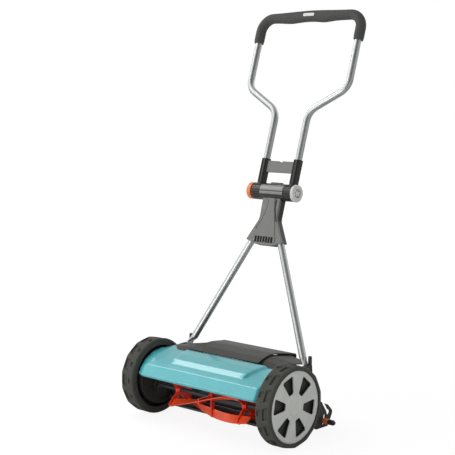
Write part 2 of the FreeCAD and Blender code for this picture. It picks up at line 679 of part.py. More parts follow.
def make_rim(side, sign):
    """Moulded rim: hub, web and barrel, with the reel's internal drive gear on the inner side of the web."""
    body = new_body(f"{side}_rim_blank")
    barrel_in = "tyre_inner + tyre_lip_width"
    barrel_out = "tyre_inner + tyre_lip_width + rim_length"
    hub_in, hub_out = HUB_INNER, f"{HUB_INNER} + hub_length"
    bore = "axle_radius + bush_wall"
    gear_in = GEAR_INNER
    web_in, web_out = WEB_INNER, f"{WEB_INNER} + web_wall"
    gear_outer = "gear_module * (ring_teeth / 2 + 1.25) + gear_wall"
    gear_blank = "gear_module * (ring_teeth / 2 - ring_addendum)"
    barrel_low = "tyre_bead_radius - rim_wall"
    section = wheel_sketch(body)
    corners = [
        (hub_in, bore), (hub_out, bore), (hub_out, f"{bore} + 2 * hub_wall"),
        (web_out, f"{bore} + 2 * hub_wall"), (web_out, barrel_low), (barrel_out, barrel_low),
        (barrel_out, "tyre_bead_radius"), (barrel_in, "tyre_bead_radius"), (barrel_in, barrel_low),
        (web_in, barrel_low), (web_in, gear_outer), (gear_in, gear_outer), (gear_in, gear_blank),
        (web_in, gear_blank), (web_in, f"{bore} + hub_wall"), (hub_in, f"{bore} + hub_wall"),
    ]
    add_loop(section, [(f"{sign} * ({across})", radius) for across, radius in corners])
    revolve(body, section)
    half_spoke = "180 / spoke_count + cover_turn"
    boss = side_sketch(body, sign, web_out, up="wheel_radius", turn=half_spoke)
    add_circle(boss, "0", "boss_circle", "boss_radius")
    feature = pad(body, boss, f"{barrel_out} - ({web_out}) - cover_fit", reverse=sign < 0)
    polar_pattern(body, feature, (section, ["H_Axis"]), "spoke_count")
    spaces = doc.addObject("Part::Feature", f"{side}_tooth_spaces")
    tip = RING_PITCH_RADIUS + 1.25 * value("gear_module")
    root = RING_PITCH_RADIUS - value("gear_module * ring_addendum")
    outline = gear_wire(int(value("ring_teeth")), RING_PITCH_RADIUS, root - 0.4, tip,
                        PITCH / 2 + FLANK_PLAY, MESH_ANGLE)
    inner = Part.Wire([Part.makeCircle(root - value("gear_module"), Vector(), Vector(1, 0, 0))])
    ring = Part.Face(outline).cut(Part.Face(inner))
    start = value(gear_in) if sign > 0 else -value(web_in)
    spaces.Shape = ring.extrude(Vector(value(f"{web_in} - {gear_in}"), 0, 0))
    spaces.Placement = Placement(Vector(start, 0, value("wheel_radius")), Rotation())
    return node(cut(f"{side}_rim", body, [spaces]), f"{side}_rim")


def make_wheel_cover(side, sign):
    """Spoked cover: a dished disc with a raised rim, a hub boss and windows between the spokes."""
    body = new_body(f"{side}_wheel_cover")
    back = "tyre_inner + tyre_lip_width + rim_length"
    face = f"{back} + cover_wall"
    section = wheel_sketch(body)
    corners = [
        (f"{back} + 1", "0"), (f"{back} + 1", "cover_hub_radius - cover_wall"),
        (back, "cover_hub_radius - cover_wall"), (back, "cover_radius"),
        (f"{face}", "cover_radius"), (f"{face} + cover_dish", "cover_radius - cover_dish"),
        (f"{face} + cover_dish", "cover_radius - cover_rim"),
        (face, "cover_radius - cover_rim - 2 * cover_dish"),
        (face, "cover_hub_radius + 2 * cover_hub_height"),
        (f"{face} + 0.8 * cover_hub_height", "cover_hub_radius"),
        (f"{face} + cover_hub_height", "cover_hub_radius - 2 * cover_hub_height"),
        (f"{face} + cover_hub_height", "0"),
    ]
    add_loop(section, [(f"{sign} * ({across})", radius) for across, radius in corners])
    revolve(body, section)
    window = side_sketch(body, sign, f"{face} + 2 * cover_hub_height", up="wheel_radius",
                         turn="180 / spoke_count + cover_turn")
    add_loop(window, [
        ("-1 * window_inner_half", "window_inner_radius", "window_corner"),
        ("window_inner_half", "window_inner_radius", "window_corner"),
        ("window_outer_half", "window_outer_radius", "window_corner"),
        ("-1 * window_outer_half", "window_outer_radius", "window_corner"),
    ])
    feature = pocket(body, window, "2 * cover_wall + 4 * cover_hub_height", reverse=sign < 0)
    polar_pattern(body, feature, (section, ["H_Axis"]), "spoke_count")
    return node(body, f"{side}_wheel_cover")


def make_ring(name, sign, start, length, inner, outer):
    """Plain ring round the wheel axis, such as a bush."""
    body = new_body(name)
    sketch = side_sketch(body, sign, start, up="wheel_radius")
    add_circle(sketch, "0", "0", inner)
    add_circle(sketch, "0", "0", outer)
    pad(body, sketch, length, reverse=sign < 0)
    return body


AXLE_CLIP_PLACE = f"{HUB_INNER} + hub_length + clip_gap"


def make_axle(side, sign):
    """Stub axle: a headed pin through the side plate, with a groove for its clip."""
    body = new_body(f"{side}_axle")
    section = wheel_sketch(body)
    corners = [
        ("axle_boss_inner - axle_head", "0"), ("axle_boss_inner - axle_head", "axle_head_radius"),
        ("axle_boss_inner", "axle_head_radius"), ("axle_boss_inner", "axle_radius"),
        (AXLE_CLIP_PLACE, "axle_radius"), (AXLE_CLIP_PLACE, "axle_radius - clip_groove"),
        (f"{AXLE_CLIP_PLACE} + clip_wall", "axle_radius - clip_groove"),
        (f"{AXLE_CLIP_PLACE} + clip_wall", "axle_radius"),
        (f"{AXLE_CLIP_PLACE} + clip_wall + axle_end", "axle_radius"),
        (f"{AXLE_CLIP_PLACE} + clip_wall + axle_end", "0"),
    ]
    add_loop(section, [(f"{sign} * ({across})", radius) for across, radius in corners])
    revolve(body, section)
    return node(body, f"{side}_axle")


def make_group(name, things):
    """Join identical pieces into one node of separate solids."""
    thing = doc.addObject("Part::Compound", name)
    thing.Links = things
    doc.recompute()
    return node(thing, name)


for side, sign in SIDES:
    make_tyre(side, sign)
    make_rim(side, sign)
    make_wheel_cover(side, sign)
    node(make_ring(f"{side}_wheel_bush", sign, HUB_INNER, "hub_length", "axle_radius + running_fit",
                   "axle_radius + bush_wall"), f"{side}_wheel_bush")
    make_axle(side, sign)

make_group("axle_clips", [
    make_ring(f"{side}_clip", sign, AXLE_CLIP_PLACE, "clip_wall", "axle_radius - clip_groove", "clip_radius")
    for side, sign in SIDES
])


# ----------------------------------------------------------------------------------------------
# Side plates
# ----------------------------------------------------------------------------------------------
def make_side_plate(side, sign):
    """Moulded side plate: the wheel's gear housing, the bosses, the handle lug and the tail with its hook."""
    body = new_body(f"{side}_plate_blank")
    plate_out = "plate_inner + plate_wall"
    section = wheel_sketch(body)
    corners = [
        ("plate_inner", "0"), ("plate_inner", "ring_two_radius - ring_width / 2"),
        ("plate_inner - ring_step", "ring_two_radius - ring_width / 2"),
        ("plate_inner - ring_step", "ring_two_radius + ring_width / 2"),
        ("plate_inner", "ring_two_radius + ring_width / 2"),
        ("plate_inner", "ring_one_radius"), ("plate_inner - ring_step", "ring_one_radius"),
        ("plate_inner - ring_step", "dish_radius"), ("dish_lip_out", "dish_radius"),
        ("dish_lip_out", "dish_lip_radius"), (plate_out, "dish_lip_radius"), (plate_out, "0"),
    ]
    add_loop(section, [(f"{sign} * ({across})", radius) for across, radius in corners])
    revolve(body, section)
    arm = side_sketch(body, sign, "plate_inner")
    add_loop(arm, [
        ("0", "wheel_radius"), ("cover_rear_y + plate_wall", "wheel_radius + dish_radius / 2"),
        ("cover_rear_y + plate_wall", "arm_top_up - plate_wall"), ("shoulder_y", "arm_top_up", "dish_radius"),
        ("arm_rear_y", "arm_top_up", "plate_wall"), ("arm_rear_y + plate_wall", "arm_low_up"),
        ("tail_top_y", "tail_top_up", "hook_radius"), ("hook_y", "hook_up + hook_radius", "hook_radius / 2"),
        ("hook_y + hook_radius", "hook_up", "hook_radius / 2"),
        ("tail_rear_y", "tail_low_up", "latch_sleeve_radius"), ("tail_low_y", "tail_low_up", "plate_wall"),
        ("roller_y", "2 * roller_radius", "plate_wall"), ("0", "wheel_radius - dish_lip_radius"),
    ])
    pad(body, arm, "plate_wall", reverse=sign < 0)
    fin = side_sketch(body, sign, "boss_inner")
    add_loop(fin, [
        ("fin_y - fin_half", "arm_top_up - 4 * fin_half"), ("fin_y + fin_half", "arm_top_up - 4 * fin_half"),
        ("fin_y + fin_half", "fin_up + fin_half", "0.98 * fin_half"),
        ("fin_y - fin_half", "fin_up + fin_half", "0.98 * fin_half"),
    ])
    pad(body, fin, f"{plate_out} - boss_inner", reverse=sign < 0)
    cylinder_across(body, sign, FOOT_Y, FOOT_UP, "foot_boss_radius", "boss_inner", f"{plate_out} - boss_inner")
    cylinder_across(body, sign, "0", "wheel_radius", "axle_boss_radius", "axle_boss_inner",
                    "dish_lip_out - axle_boss_inner")
    cylinder_across(body, sign, "reel_y", "reel_up", "bearing_boss_radius",
                    "bearing_inner - bearing_shoulder", f"{plate_out} - bearing_inner + bearing_shoulder")
    hole_across(body, sign, "0", "wheel_radius", "axle_radius", "axle_boss_inner",
                "dish_lip_out - axle_boss_inner")
    hole_across(body, sign, "reel_y", "reel_up", "bearing_radius", "bearing_inner",
                f"{plate_out} - bearing_inner")
    hole_across(body, sign, "reel_y", "reel_up", "shaft_hole_radius",
                "bearing_inner - bearing_shoulder", "bearing_shoulder")
    hole_across(body, sign, FOOT_Y, FOOT_UP, "foot_bolt_radius", "boss_inner", f"{plate_out} - boss_inner")
    hole_across(body, sign, "arm_pivot_y", "arm_pivot_up", "arm_pivot_radius",
                "plate_inner - ring_step", "plate_wall + ring_step")
    hole_across(body, sign, "tie_rod_y", "tie_rod_up", "screw_radius", "plate_inner", "plate_wall")
    hook = side_sketch(body, sign, "plate_inner", across="hook_y", up="hook_up", turn="hook_lean")
    add_circle(hook, "0", "0", "hook_throat")
    pocket(body, hook, "plate_wall", reverse=sign > 0)
    mouth = side_sketch(body, sign, "plate_inner", across="hook_y", up="hook_up", turn="hook_lean")
    add_loop(mouth, [
        ("-1 * hook_mouth * hook_throat", "0"), ("hook_mouth * hook_throat", "0"),
        ("hook_mouth * hook_throat", "2 * hook_radius"), ("-1 * hook_mouth * hook_throat", "2 * hook_radius"),
    ])
    pocket(body, mouth, "plate_wall", reverse=sign > 0)
    return body


def make_latch_slot(side, sign):
    """Curved slot that the latch pin sweeps as the roller arm swings."""
    pivot = Vector(0, value("arm_pivot_y"), value("arm_pivot_up"))
    latch = Vector(0, value("latch_y"), value("latch_up"))
    reach = (latch - pivot).Length
    rest = math.degrees(math.atan2(latch.z - pivot.z, latch.y - pivot.y))
    low, high = rest - value("latch_down_angle"), rest + value("latch_up_angle")
    radius = value("latch_pin_radius + slot_fit")
    inner, outer = reach - radius, reach + radius
    at = [math.radians(angle) for angle in (low, (low + high) / 2, high)]
    inner_points = [_on_circle(inner, angle) for angle in at]
    outer_points = [_on_circle(outer, angle) for angle in at]
    ends = [_on_circle(reach, at[0] - radius / reach), _on_circle(reach, at[2] + radius / reach)]
    wire = Part.Wire([
        Part.Arc(*inner_points).toShape(),
        Part.Arc(inner_points[2], ends[1], outer_points[2]).toShape(),
        Part.Arc(*reversed(outer_points)).toShape(),
        Part.Arc(outer_points[0], ends[0], inner_points[0]).toShape(),
    ])
    slot = doc.addObject("Part::Feature", f"{side}_latch_slot")
    slot.Shape = Part.Face(wire).extrude(Vector(value("3 * plate_wall"), 0, 0))
    middle = sign * value("plate_inner + plate_wall / 2")
    slot.Placement = Placement(pivot + Vector(middle - value("1.5 * plate_wall"), 0, 0), Rotation())
    return slot


FOOT_Y = "(hinge_y - foot_down * sin(lower_lean))"
FOOT_UP = "(hinge_up - foot_down * cos(lower_lean))"

for side, sign in SIDES:
    plate = make_side_plate(side, sign)
    node(cut(f"{side}_plate_slotted", plate, [make_latch_slot(side, sign)]), f"{side}_side_plate")


def make_bearing(side, sign):
    """Reel bearing, pressed into its side plate."""
    body = new_body(f"{side}_bearing")
    sketch = side_sketch(body, sign, "bearing_inner")
    add_circle(sketch, "reel_y", "reel_up", "bearing_radius")
    add_circle(sketch, "reel_y", "reel_up", "shaft_radius + running_fit")
    pad(body, sketch, "plate_inner + plate_wall - bearing_inner", reverse=sign < 0)
    return body


make_group("reel_bearings", [make_bearing(side, sign) for side, sign in SIDES])


# ----------------------------------------------------------------------------------------------
# Cutting reel
# ----------------------------------------------------------------------------------------------
def make_blade_helix():
    """Helix that steers the twist of the blades."""
    helix = doc.addObject("Part::Helix", "BladeHelix")
    helix.LocalCoord = "Left-handed"
    bind(helix, "Pitch", f"360 / {BLADE_TWIST}")
    bind(helix, "Height", "2 * blade_half")
    bind(helix, "Radius", "reel_radius")
    helix.Placement = Placement(Vector(), Rotation(Vector(0, 1, 0), 90))
    bind(helix, "Placement.Base.x", BLADE_START)
    bind(helix, "Placement.Base.y", "reel_y")
    bind(helix, "Placement.Base.z", "reel_up")
    return helix


def make_blade(number, helix):
    """Helical blade: a flat strip on edge, swept along the shaft while the helix turns it."""
    body = new_body(f"reel_blade_{number}")
    turn = f"180 - {BLADE_TWIST} * {BLADE_START} + 360 / blade_count * {number - 1}"
    section = new_sketch(body, "YZ_Plane", across="reel_y", up="reel_up", out=BLADE_START, turn=turn)
    add_loop(section, [
        ("-1 * blade_wall / 2", "reel_radius - blade_depth"), ("blade_wall / 2", "reel_radius - blade_depth"),
        ("blade_wall / 2", "reel_radius"), ("-1 * blade_wall / 2", "reel_radius"),
    ])
    spine = new_sketch(body, "XY_Plane", up="reel_y", out="reel_up")
    ends = [Vector(value(BLADE_START), 0, 0), Vector(value(BLADE_END), 0, 0)]
    line = spine.addGeometry(Part.LineSegment(*ends), False)
    for point, expression in ((1, BLADE_START), (2, BLADE_END)):
        hold(spine, "DistanceX", line, point, expression)
        hold(spine, "DistanceY", line, point, "0")
    doc.recompute()
    pipe = body.newObject("PartDesign::AdditivePipe", "Sweep")
    pipe.Profile = section
    pipe.Spine = (spine, ["Edge1"])
    pipe.Mode = "Auxiliary"
    pipe.AuxiliarySpine = (helix, ["Edge1"])
    pipe.AuxiliaryCurvilinear = False
    doc.recompute()
    return node(body, f"reel_blade_{number}")


def spider_outline(webbed, mirror):
    """Return the corners of a spider. A webbed one has a chord across three of its quarters."""
    arm, reach = "spider_arm_half", "spider_reach"
    quarter = [(f"-1 * {arm}", reach), (arm, reach)]
    if webbed:
        half_turn = quarter + [(reach, arm), (reach, f"-1 * {arm}"), (arm, f"-1 * {arm}", arm)]
        outline = half_turn + [(_negate(corner[0]), _negate(corner[1])) + corner[2:] for corner in half_turn]
        outline.pop(4 if mirror else 9)
        return outline
    corners = quarter + [(arm, arm)]
    result = []
    for _ in range(4):
        result += corners
        corners = [(corner[1], _negate(corner[0])) for corner in corners]
    return result


def _negate(expression):
    """Return an expression's opposite."""
    return expression[5:] if expression.startswith("-1 * ") else f"-1 * {expression}"


def make_spider(name, place, webbed, mirror, blades):
    """Pressed spider: hub, arms slotted over the blades, and at the reel's ends webs, two with windows."""
    body = new_body(f"{name}_blank")
    turn = f"180 - {BLADE_TWIST} * ({place})"
    middle = dict(across="reel_y", up="reel_up", turn=turn)
    outline = new_sketch(body, "YZ_Plane", out=place, **middle)
    flip = "-1 * " if mirror else "1 * "
    add_loop(outline, [(f"{flip}({corner[0]})",) + corner[1:] for corner in spider_outline(webbed, mirror)])
    pad(body, outline, "spider_wall", both=True)
    if webbed:
        windows = new_sketch(body, "YZ_Plane", out=place, **middle)
        far = "spider_reach + spider_arm_half - 1.4142 * spider_band - spider_window"
        for turn_sign in ("1 * ", "-1 * "):
            add_loop(windows, [
                (f"{flip}({turn_sign}(spider_window))", f"{turn_sign}(spider_window)"),
                (f"{flip}({turn_sign}(spider_window))", f"{turn_sign}({far})"),
                (f"{flip}({turn_sign}({far}))", f"{turn_sign}(spider_window)"),
            ])
        pocket(body, windows, "spider_wall", both=True)
    pad(body, add_circle(new_sketch(body, "YZ_Plane", out=place, **middle), "0", "0", "spider_hub_radius"),
        "spider_hub_length", both=True)
    pocket(body, add_circle(new_sketch(body, "YZ_Plane", out=place, **middle), "0", "0", "shaft_radius"),
           "2 * spider_hub_length", both=True)
    return node(cut(f"{name}_slotted", body, blades), name)


COLLAR_END = f"{WEB_INNER} - pinion_side_gap - pinion_face"
COLLAR_START = f"{COLLAR_END} - collar_length"


def key_box(sign, spare):
    """Return the box of a ratchet key, larger by a gap on every side."""
    across = value("2 * ratchet_radius - 1") + 2 * spare
    length = value("key_length") + 2 * spare
    wall = value("key_wall") + 2 * spare
    middle = sign * value(f"{COLLAR_START} + collar_length / 2")
    corner = Vector(middle - length / 2, value("reel_y") - wall / 2, value("reel_up") - across / 2)
    return Part.makeBox(length, wall, across, corner)


def make_reel_shaft():
    """Reel shaft, slotted at each end for its ratchet key."""
    body = new_body("reel_shaft_round")
    half = f"({WEB_INNER} - pinion_side_gap)"
    sketch = add_circle(new_sketch(body, "YZ_Plane"), "reel_y", "reel_up", "shaft_radius")
    pad(body, sketch, f"2 * {half}", both=True)
    slots = []
    for side, sign in SIDES:
        slot = doc.addObject("Part::Feature", f"{side}_key_slot")
        slot.Shape = key_box(sign, 0.0)
        slots.append(slot)
    return node(cut("reel_shaft_slotted", body, slots), "reel_shaft")


def make_pinion(side, sign):
    """Pinion with its ratchet collar; the key in the shaft catches in the collar's recess."""
    module = value("gear_module")
    outline = gear_wire(int(value("pinion_teeth")), PINION_PITCH_RADIUS, PINION_PITCH_RADIUS - 1.25 * module,
                        PINION_PITCH_RADIUS + module, PITCH / 2 - FLANK_PLAY, MESH_ANGLE)
    face, length = value("pinion_face"), value("collar_length")
    teeth = Part.Face(outline).extrude(Vector(sign * face, 0, 0))
    axis = Vector(sign, 0, 0)
    collar = Part.makeCylinder(value("collar_radius"), length, Vector(-sign * length, 0, 0), axis)
    bore = Part.makeCylinder(value("shaft_radius"), length + face, Vector(-sign * length, 0, 0), axis)
    recess = Part.makeCylinder(value("ratchet_radius"), length - 1, Vector(-sign * length, 0, 0), axis)
    shape = teeth.fuse(collar).cut(bore.fuse(recess)).removeSplitter()
    place = Vector(sign * value(COLLAR_END), value("reel_y"), value("reel_up"))
    return solid_node(f"{side}_pinion", shape, Placement(place, Rotation()))


blade_helix = make_blade_helix()
blades = [make_blade(number, blade_helix) for number in range(1, int(value("blade_count")) + 1)]
make_spider("left_spider", SPIDER_START, True, False, blades)
make_spider("centre_spider", f"{SPIDER_START} + spider_spacing", False, False, blades)
make_spider("right_spider", f"{SPIDER_START} + 2 * spider_spacing", True, True, blades)
make_reel_shaft()
for side, sign in SIDES:
    make_pinion(side, sign)
solid_node("ratchet_keys", Part.makeCompound([key_box(sign, 0.0) for side, sign in SIDES]))


# ----------------------------------------------------------------------------------------------
# Bed knife, tie rod and frame screws
# ----------------------------------------------------------------------------------------------
KNIFE_Y = "(reel_y + (reel_radius + knife_gap) * sin(knife_angle))"
KNIFE_UP = "(reel_up - (reel_radius + knife_gap) * cos(knife_angle))"
KNIFE_HALF = f"({BLADE_END} + knife_overhang)"


def make_bed_knife():
    """Bed knife: a flat bar whose front upper corner is the edge that the reel's blades pass."""
    body = new_body("bedknife")
    section = new_sketch(body, "YZ_Plane", across=KNIFE_Y, up=KNIFE_UP, turn="-1 * knife_angle / 2")
    add_loop(section, [
        ("0", "0"), ("knife_width", "0"), ("knife_width", "-1 * knife_wall"), ("knife_wall", "-1 * knife_wall"),
    ])
    pad(body, section, f"2 * {KNIFE_HALF}", both=True)
    return node(body, "bedknife")


def make_knife_carrier():
    """Knife carrier: an angle bar under the bed knife, whose web runs on from side plate to side plate."""
    body = new_body("bedknife_carrier")
    middle = dict(across=KNIFE_Y, up=KNIFE_UP, turn="-1 * knife_angle / 2")
    section = new_sketch(body, "YZ_Plane", **middle)
    web_front = "(knife_width + 1)"
    web_rear = f"({web_front} + carrier_wall)"
    seat = "-1 * knife_wall"
    low = f"{seat} - carrier_wall"
    add_loop(section, [
        ("carrier_front", seat), (web_front, seat), (web_front, "carrier_high"), (web_rear, "carrier_high"),
        (web_rear, f"{low} - carrier_lip"), (web_front, f"{low} - carrier_lip"), (web_front, low),
        ("carrier_front", low),
    ])
    pad(body, section, f"2 * {KNIFE_HALF}", both=True)
    beam = new_sketch(body, "YZ_Plane", **middle)
    add_loop(beam, [
        (web_front, "carrier_high - carrier_beam"), (web_rear, "carrier_high - carrier_beam"),
        (web_rear, "carrier_high"), (web_front, "carrier_high"),
    ])
    pad(body, beam, "2 * (plate_inner - ring_step)", both=True)
    return node(body, "bedknife_carrier")


def make_bar(name, y, up, radius, half):
    """Round bar across the mower."""
    body = new_body(name)
    pad(body, add_circle(new_sketch(body, "YZ_Plane"), y, up, radius), f"2 * ({half})", both=True)
    return node(body, name)


make_bed_knife()
make_knife_carrier()
make_bar("tie_rod", "tie_rod_y", "tie_rod_up", "tie_rod_radius", "plate_inner")


def screw(body_name, sign, y, up, shank_start, shank_length, shank_radius, head_radius, head):
    """Screw that lies across the mower, its head outside."""
    body = new_body(body_name)
    cylinder_across(body, sign, y, up, shank_radius, shank_start, shank_length)
    cylinder_across(body, sign, y, up, head_radius, f"{shank_start} + {shank_length}", head)
    return body


make_group("frame_screws", [
    screw(f"{side}_tie_screw", sign, "tie_rod_y", "tie_rod_up", "plate_inner", "plate_wall",
          "screw_radius", "screw_head_radius", "screw_head")
    for side, sign in SIDES
])


# ----------------------------------------------------------------------------------------------
# Reel cover, rear hood and flap
# ----------------------------------------------------------------------------------------------
def on_end(y, radius=None):
    """Return a point of the cover's end profile, which runs round the wheel axis."""
    radius = value("end_radius") if radius is None else radius
    return (y, value("wheel_radius") + math.sqrt(radius ** 2 - y ** 2))


def cover_profiles():
    """Return the cover's outer profile at its middle, at its facets and at its ends, from lip to rear edge."""
    names = ("band_low", "band_high", "top")
    lip = [(value("lip_y"), value("lip_low_up")), (value("lip_y"), value("lip_high_up"))]
    crease = [(value("crease_y"), value("crease_up"))]
    brow = [(value(f"{name}_y"), value(f"{name}_up")) for name in names]
    rear = [(value("cover_rear_y"), value("cover_rear_up"))]
    full = lip + crease + brow + rear
    end_lip_y = value("end_lip_y")
    rise = value("lip_high_up - lip_low_up")
    end_lip = [(end_lip_y, value("lip_low_up")), (end_lip_y, value("lip_low_up") + rise)]
    low_brow = [on_end(point[0], value("end_radius") + 1) for point in brow]
    end_crease = [on_end(value("crease_y"), value("end_radius") + 3)]
    facet = lip + crease + low_brow + [(value("cover_rear_y"), value("cover_rear_up - facet_fall"))]
    end_brow = [on_end(point[0]) for point in brow]
    end_rear = [on_end(value("cover_rear_y"))]
    return full, facet, end_lip + end_crease + end_brow + end_rear


def thickened(profile, wall):
    """Return a closed outline: the profile, and back along it one wall further in."""
    inner = []
    for i, point in enumerate(profile):
        before = profile[max(i - 1, 0)]
        after = profile[min(i + 1, len(profile) - 1)]
        if i in (0, len(profile) - 1):
            directions = [_unit(before, after)]
        else:
            directions = [_unit(before, point), _unit(point, after)]
        normal = (sum(d[1] for d in directions), -sum(d[0] for d in directions))
        length = math.hypot(*normal)
        normal = (normal[0] / length, normal[1] / length)
        stretch = 1.0 / max(0.5, directions[0][1] * normal[0] - directions[0][0] * normal[1])
        inner.append((point[0] + normal[0] * wall * stretch, point[1] + normal[1] * wall * stretch))
    return profile + inner[::-1]


def _unit(start, end):
    """Return the unit vector from one point of a profile to another."""
    length = math.hypot(end[0] - start[0], end[1] - start[1])
    return ((end[0] - start[0]) / length, (end[1] - start[1]) / length)


def make_cover():
    """Pressed reel cover: a thin shell with a rolled lip, a raised brow and facets that fall to its ends."""
    full, facet, end = cover_profiles()
    stations = [(-value("cover_end"), end), (-value("cover_facet"), facet), (-value("cover_flat"), full)]
    stations += [(-place, profile) for place, profile in reversed(stations)]
    wires = []
    for place, profile in stations:
        outline = thickened(profile, value("cover_skin"))
        wires.append(Part.makePolygon([Vector(place, y, up) for y, up in outline + outline[:1]]))
    return solid_node("reel_cover", Part.makeLoft(wires, True, True))


def hood_section(body, place, rise_up, mid_up, rear_up):
    """Draw the hood's section at a distance from the middle, with its own heights behind the hinge."""
    sketch = new_sketch(body, "YZ_Plane", out=place)
    roof = [
        ("cover_rear_y + hood_front_gap", "hood_front_up"), ("hood_step_y", "hood_front_up", "hood_wall"),
        ("hood_rise_y", rise_up, "hood_rise_y / 2"), ("hood_mid_y", mid_up, "hood_mid_y"),
        ("hood_rear_y", rear_up),
    ]
    under = [(corner[0], f"{corner[1]} - hood_wall") + corner[2:] for corner in reversed(roof)]
    add_loop(sketch, roof + under)
    return sketch


def make_hood():
    """Moulded rear hood: a roof that falls to the plates, open below the flap, cut back at the feet."""
    body = new_body("rear_hood")
    middle = hood_section(body, "0", "hood_rise_up", "hood_mid_up", "hood_rear_up")
    pad(body, middle, "2 * hood_shoulder", both=True)
    for sign in (-1, 1):
        inner = hood_section(body, f"{sign} * hood_shoulder", "hood_rise_up", "hood_mid_up", "hood_rear_up")
        outer = hood_section(body, f"{sign} * plate_inner", "hood_side_rise_up", "hood_side_mid_up",
                             "hood_side_rear_up")
        loft = body.newObject("PartDesign::AdditiveLoft", "Shoulder")
        loft.Profile = inner
        loft.Sections = [outer]
        loft.Ruled = True
        doc.recompute()
    opening = new_sketch(body, "XY_Plane", out="2 * hood_front_up")
    add_loop(opening, [
        ("-1 * hood_opening_half", "hood_opening_front_y"), ("hood_opening_half", "hood_opening_front_y"),
        ("hood_opening_half", "hood_opening_rear_y"), ("-1 * hood_opening_half", "hood_opening_rear_y"),
    ])
    pocket(body, opening, "2 * hood_front_up")
    for sign in (-1, 1):
        notch = new_sketch(body, "XY_Plane", out="2 * hood_front_up")
        add_loop(notch, [
            (f"{sign} * hood_foot_half", "hood_foot_y"), (f"{sign} * 2 * plate_inner", "hood_foot_y"),
            (f"{sign} * 2 * plate_inner", "2 * hood_rear_y"), (f"{sign} * hood_foot_half", "2 * hood_rear_y"),
        ])
        pocket(body, notch, "2 * hood_front_up")
    for place in ("-1 * hinge_eye_x", "hinge_eye_x"):
        eye = new_sketch(body, "YZ_Plane", out=place)
        add_loop(eye, [
            ("hinge_pin_y - hinge_eye", "hood_front_up - hood_wall"),
            ("hinge_pin_y + hinge_eye", "hood_front_up - hood_wall"),
            ("hinge_pin_y + hinge_eye", "hinge_pin_up + hinge_eye", "hinge_eye * 0.9"),
            ("hinge_pin_y - hinge_eye", "hinge_pin_up + hinge_eye", "hinge_eye * 0.9"),
        ])
        pad(body, eye, "hinge_eye_length", both=True)
    bore = add_circle(new_sketch(body, "YZ_Plane"), "hinge_pin_y", "hinge_pin_up", "hinge_pin_radius")
    pocket(body, bore, "2 * plate_inner", both=True)
    return node(body, "rear_hood")


def make_flap():
    """Hinged deflector flap: a crowned panel with a waist, and a skirt along its rear edge."""
    body = new_body("deflector_flap")
    section = new_sketch(body, "YZ_Plane")
    upper = [
        ("flap_front_y", "flap_front_up"), ("flap_shoulder_y", "flap_shoulder_up", "flap_shoulder_y"),
        ("flap_crown_y", "flap_crown_up", "flap_crown_y"), ("flap_rear_y", "flap_rear_up", "flap_wall * 2"),
    ]
    lower = [
        ("flap_rear_y", "flap_rear_up - flap_skirt"), ("flap_rear_y - flap_wall", "flap_rear_up - flap_skirt"),
        ("flap_rear_y - flap_wall", "flap_rear_up - flap_wall", "flap_wall"),
        ("flap_crown_y", "flap_crown_up - flap_wall", "flap_crown_y"),
        ("flap_shoulder_y", "flap_shoulder_up - flap_wall", "flap_shoulder_y"),
        ("flap_front_y", "flap_front_up - flap_wall"),
    ]
    add_loop(section, upper + lower)
    pad(body, section, "3 * flap_rear_half", both=True)
    for sign in (-1, 1):
        side = new_sketch(body, "XY_Plane", out="2 * flap_crown_up")
        add_loop(side, [
            (f"{sign} * flap_front_half", "flap_front_y - flap_wall"),
            (f"{sign} * flap_waist_half", "flap_waist_y", "flap_waist_half"),
            (f"{sign} * flap_rear_half", "flap_rear_y + flap_wall"),
            (f"{sign} * 2 * flap_rear_half", "flap_rear_y + flap_wall"),
            (f"{sign} * 2 * flap_rear_half", "flap_front_y - flap_wall"),
        ])
        pocket(body, side, "2 * flap_crown_up")
    for place in (-1, 1):
        for step in (-1, 1):
            knuckle = new_sketch(body, "YZ_Plane",
                                 out=f"{place} * hinge_eye_x + {step} * (hinge_eye_length + hinge_eye_gap)")
            add_loop(knuckle, [
                ("hinge_pin_y - hinge_eye", "hinge_pin_up - hinge_eye", "hinge_eye * 0.9"),
                ("hinge_pin_y + hinge_eye", "hinge_pin_up - hinge_eye", "hinge_eye * 0.9"),
                ("hinge_pin_y + hinge_eye", "flap_front_up - flap_wall / 2"),
                ("hinge_pin_y - hinge_eye", "flap_front_up - flap_wall / 2"),
            ])
            pad(body, knuckle, "hinge_eye_length", both=True)
    radius = "hinge_pin_radius + running_fit"
    bore = add_circle(new_sketch(body, "YZ_Plane"), "hinge_pin_y", "hinge_pin_up", radius)
    pocket(body, bore, "2 * plate_inner", both=True)
    return node(body, "deflector_flap")


make_cover()
make_hood()
make_flap()
make_bar("flap_hinge_pin", "hinge_pin_y", "hinge_pin_up", "hinge_pin_radius",
         "hinge_eye_x + 1.5 * hinge_eye_length + hinge_eye_gap")


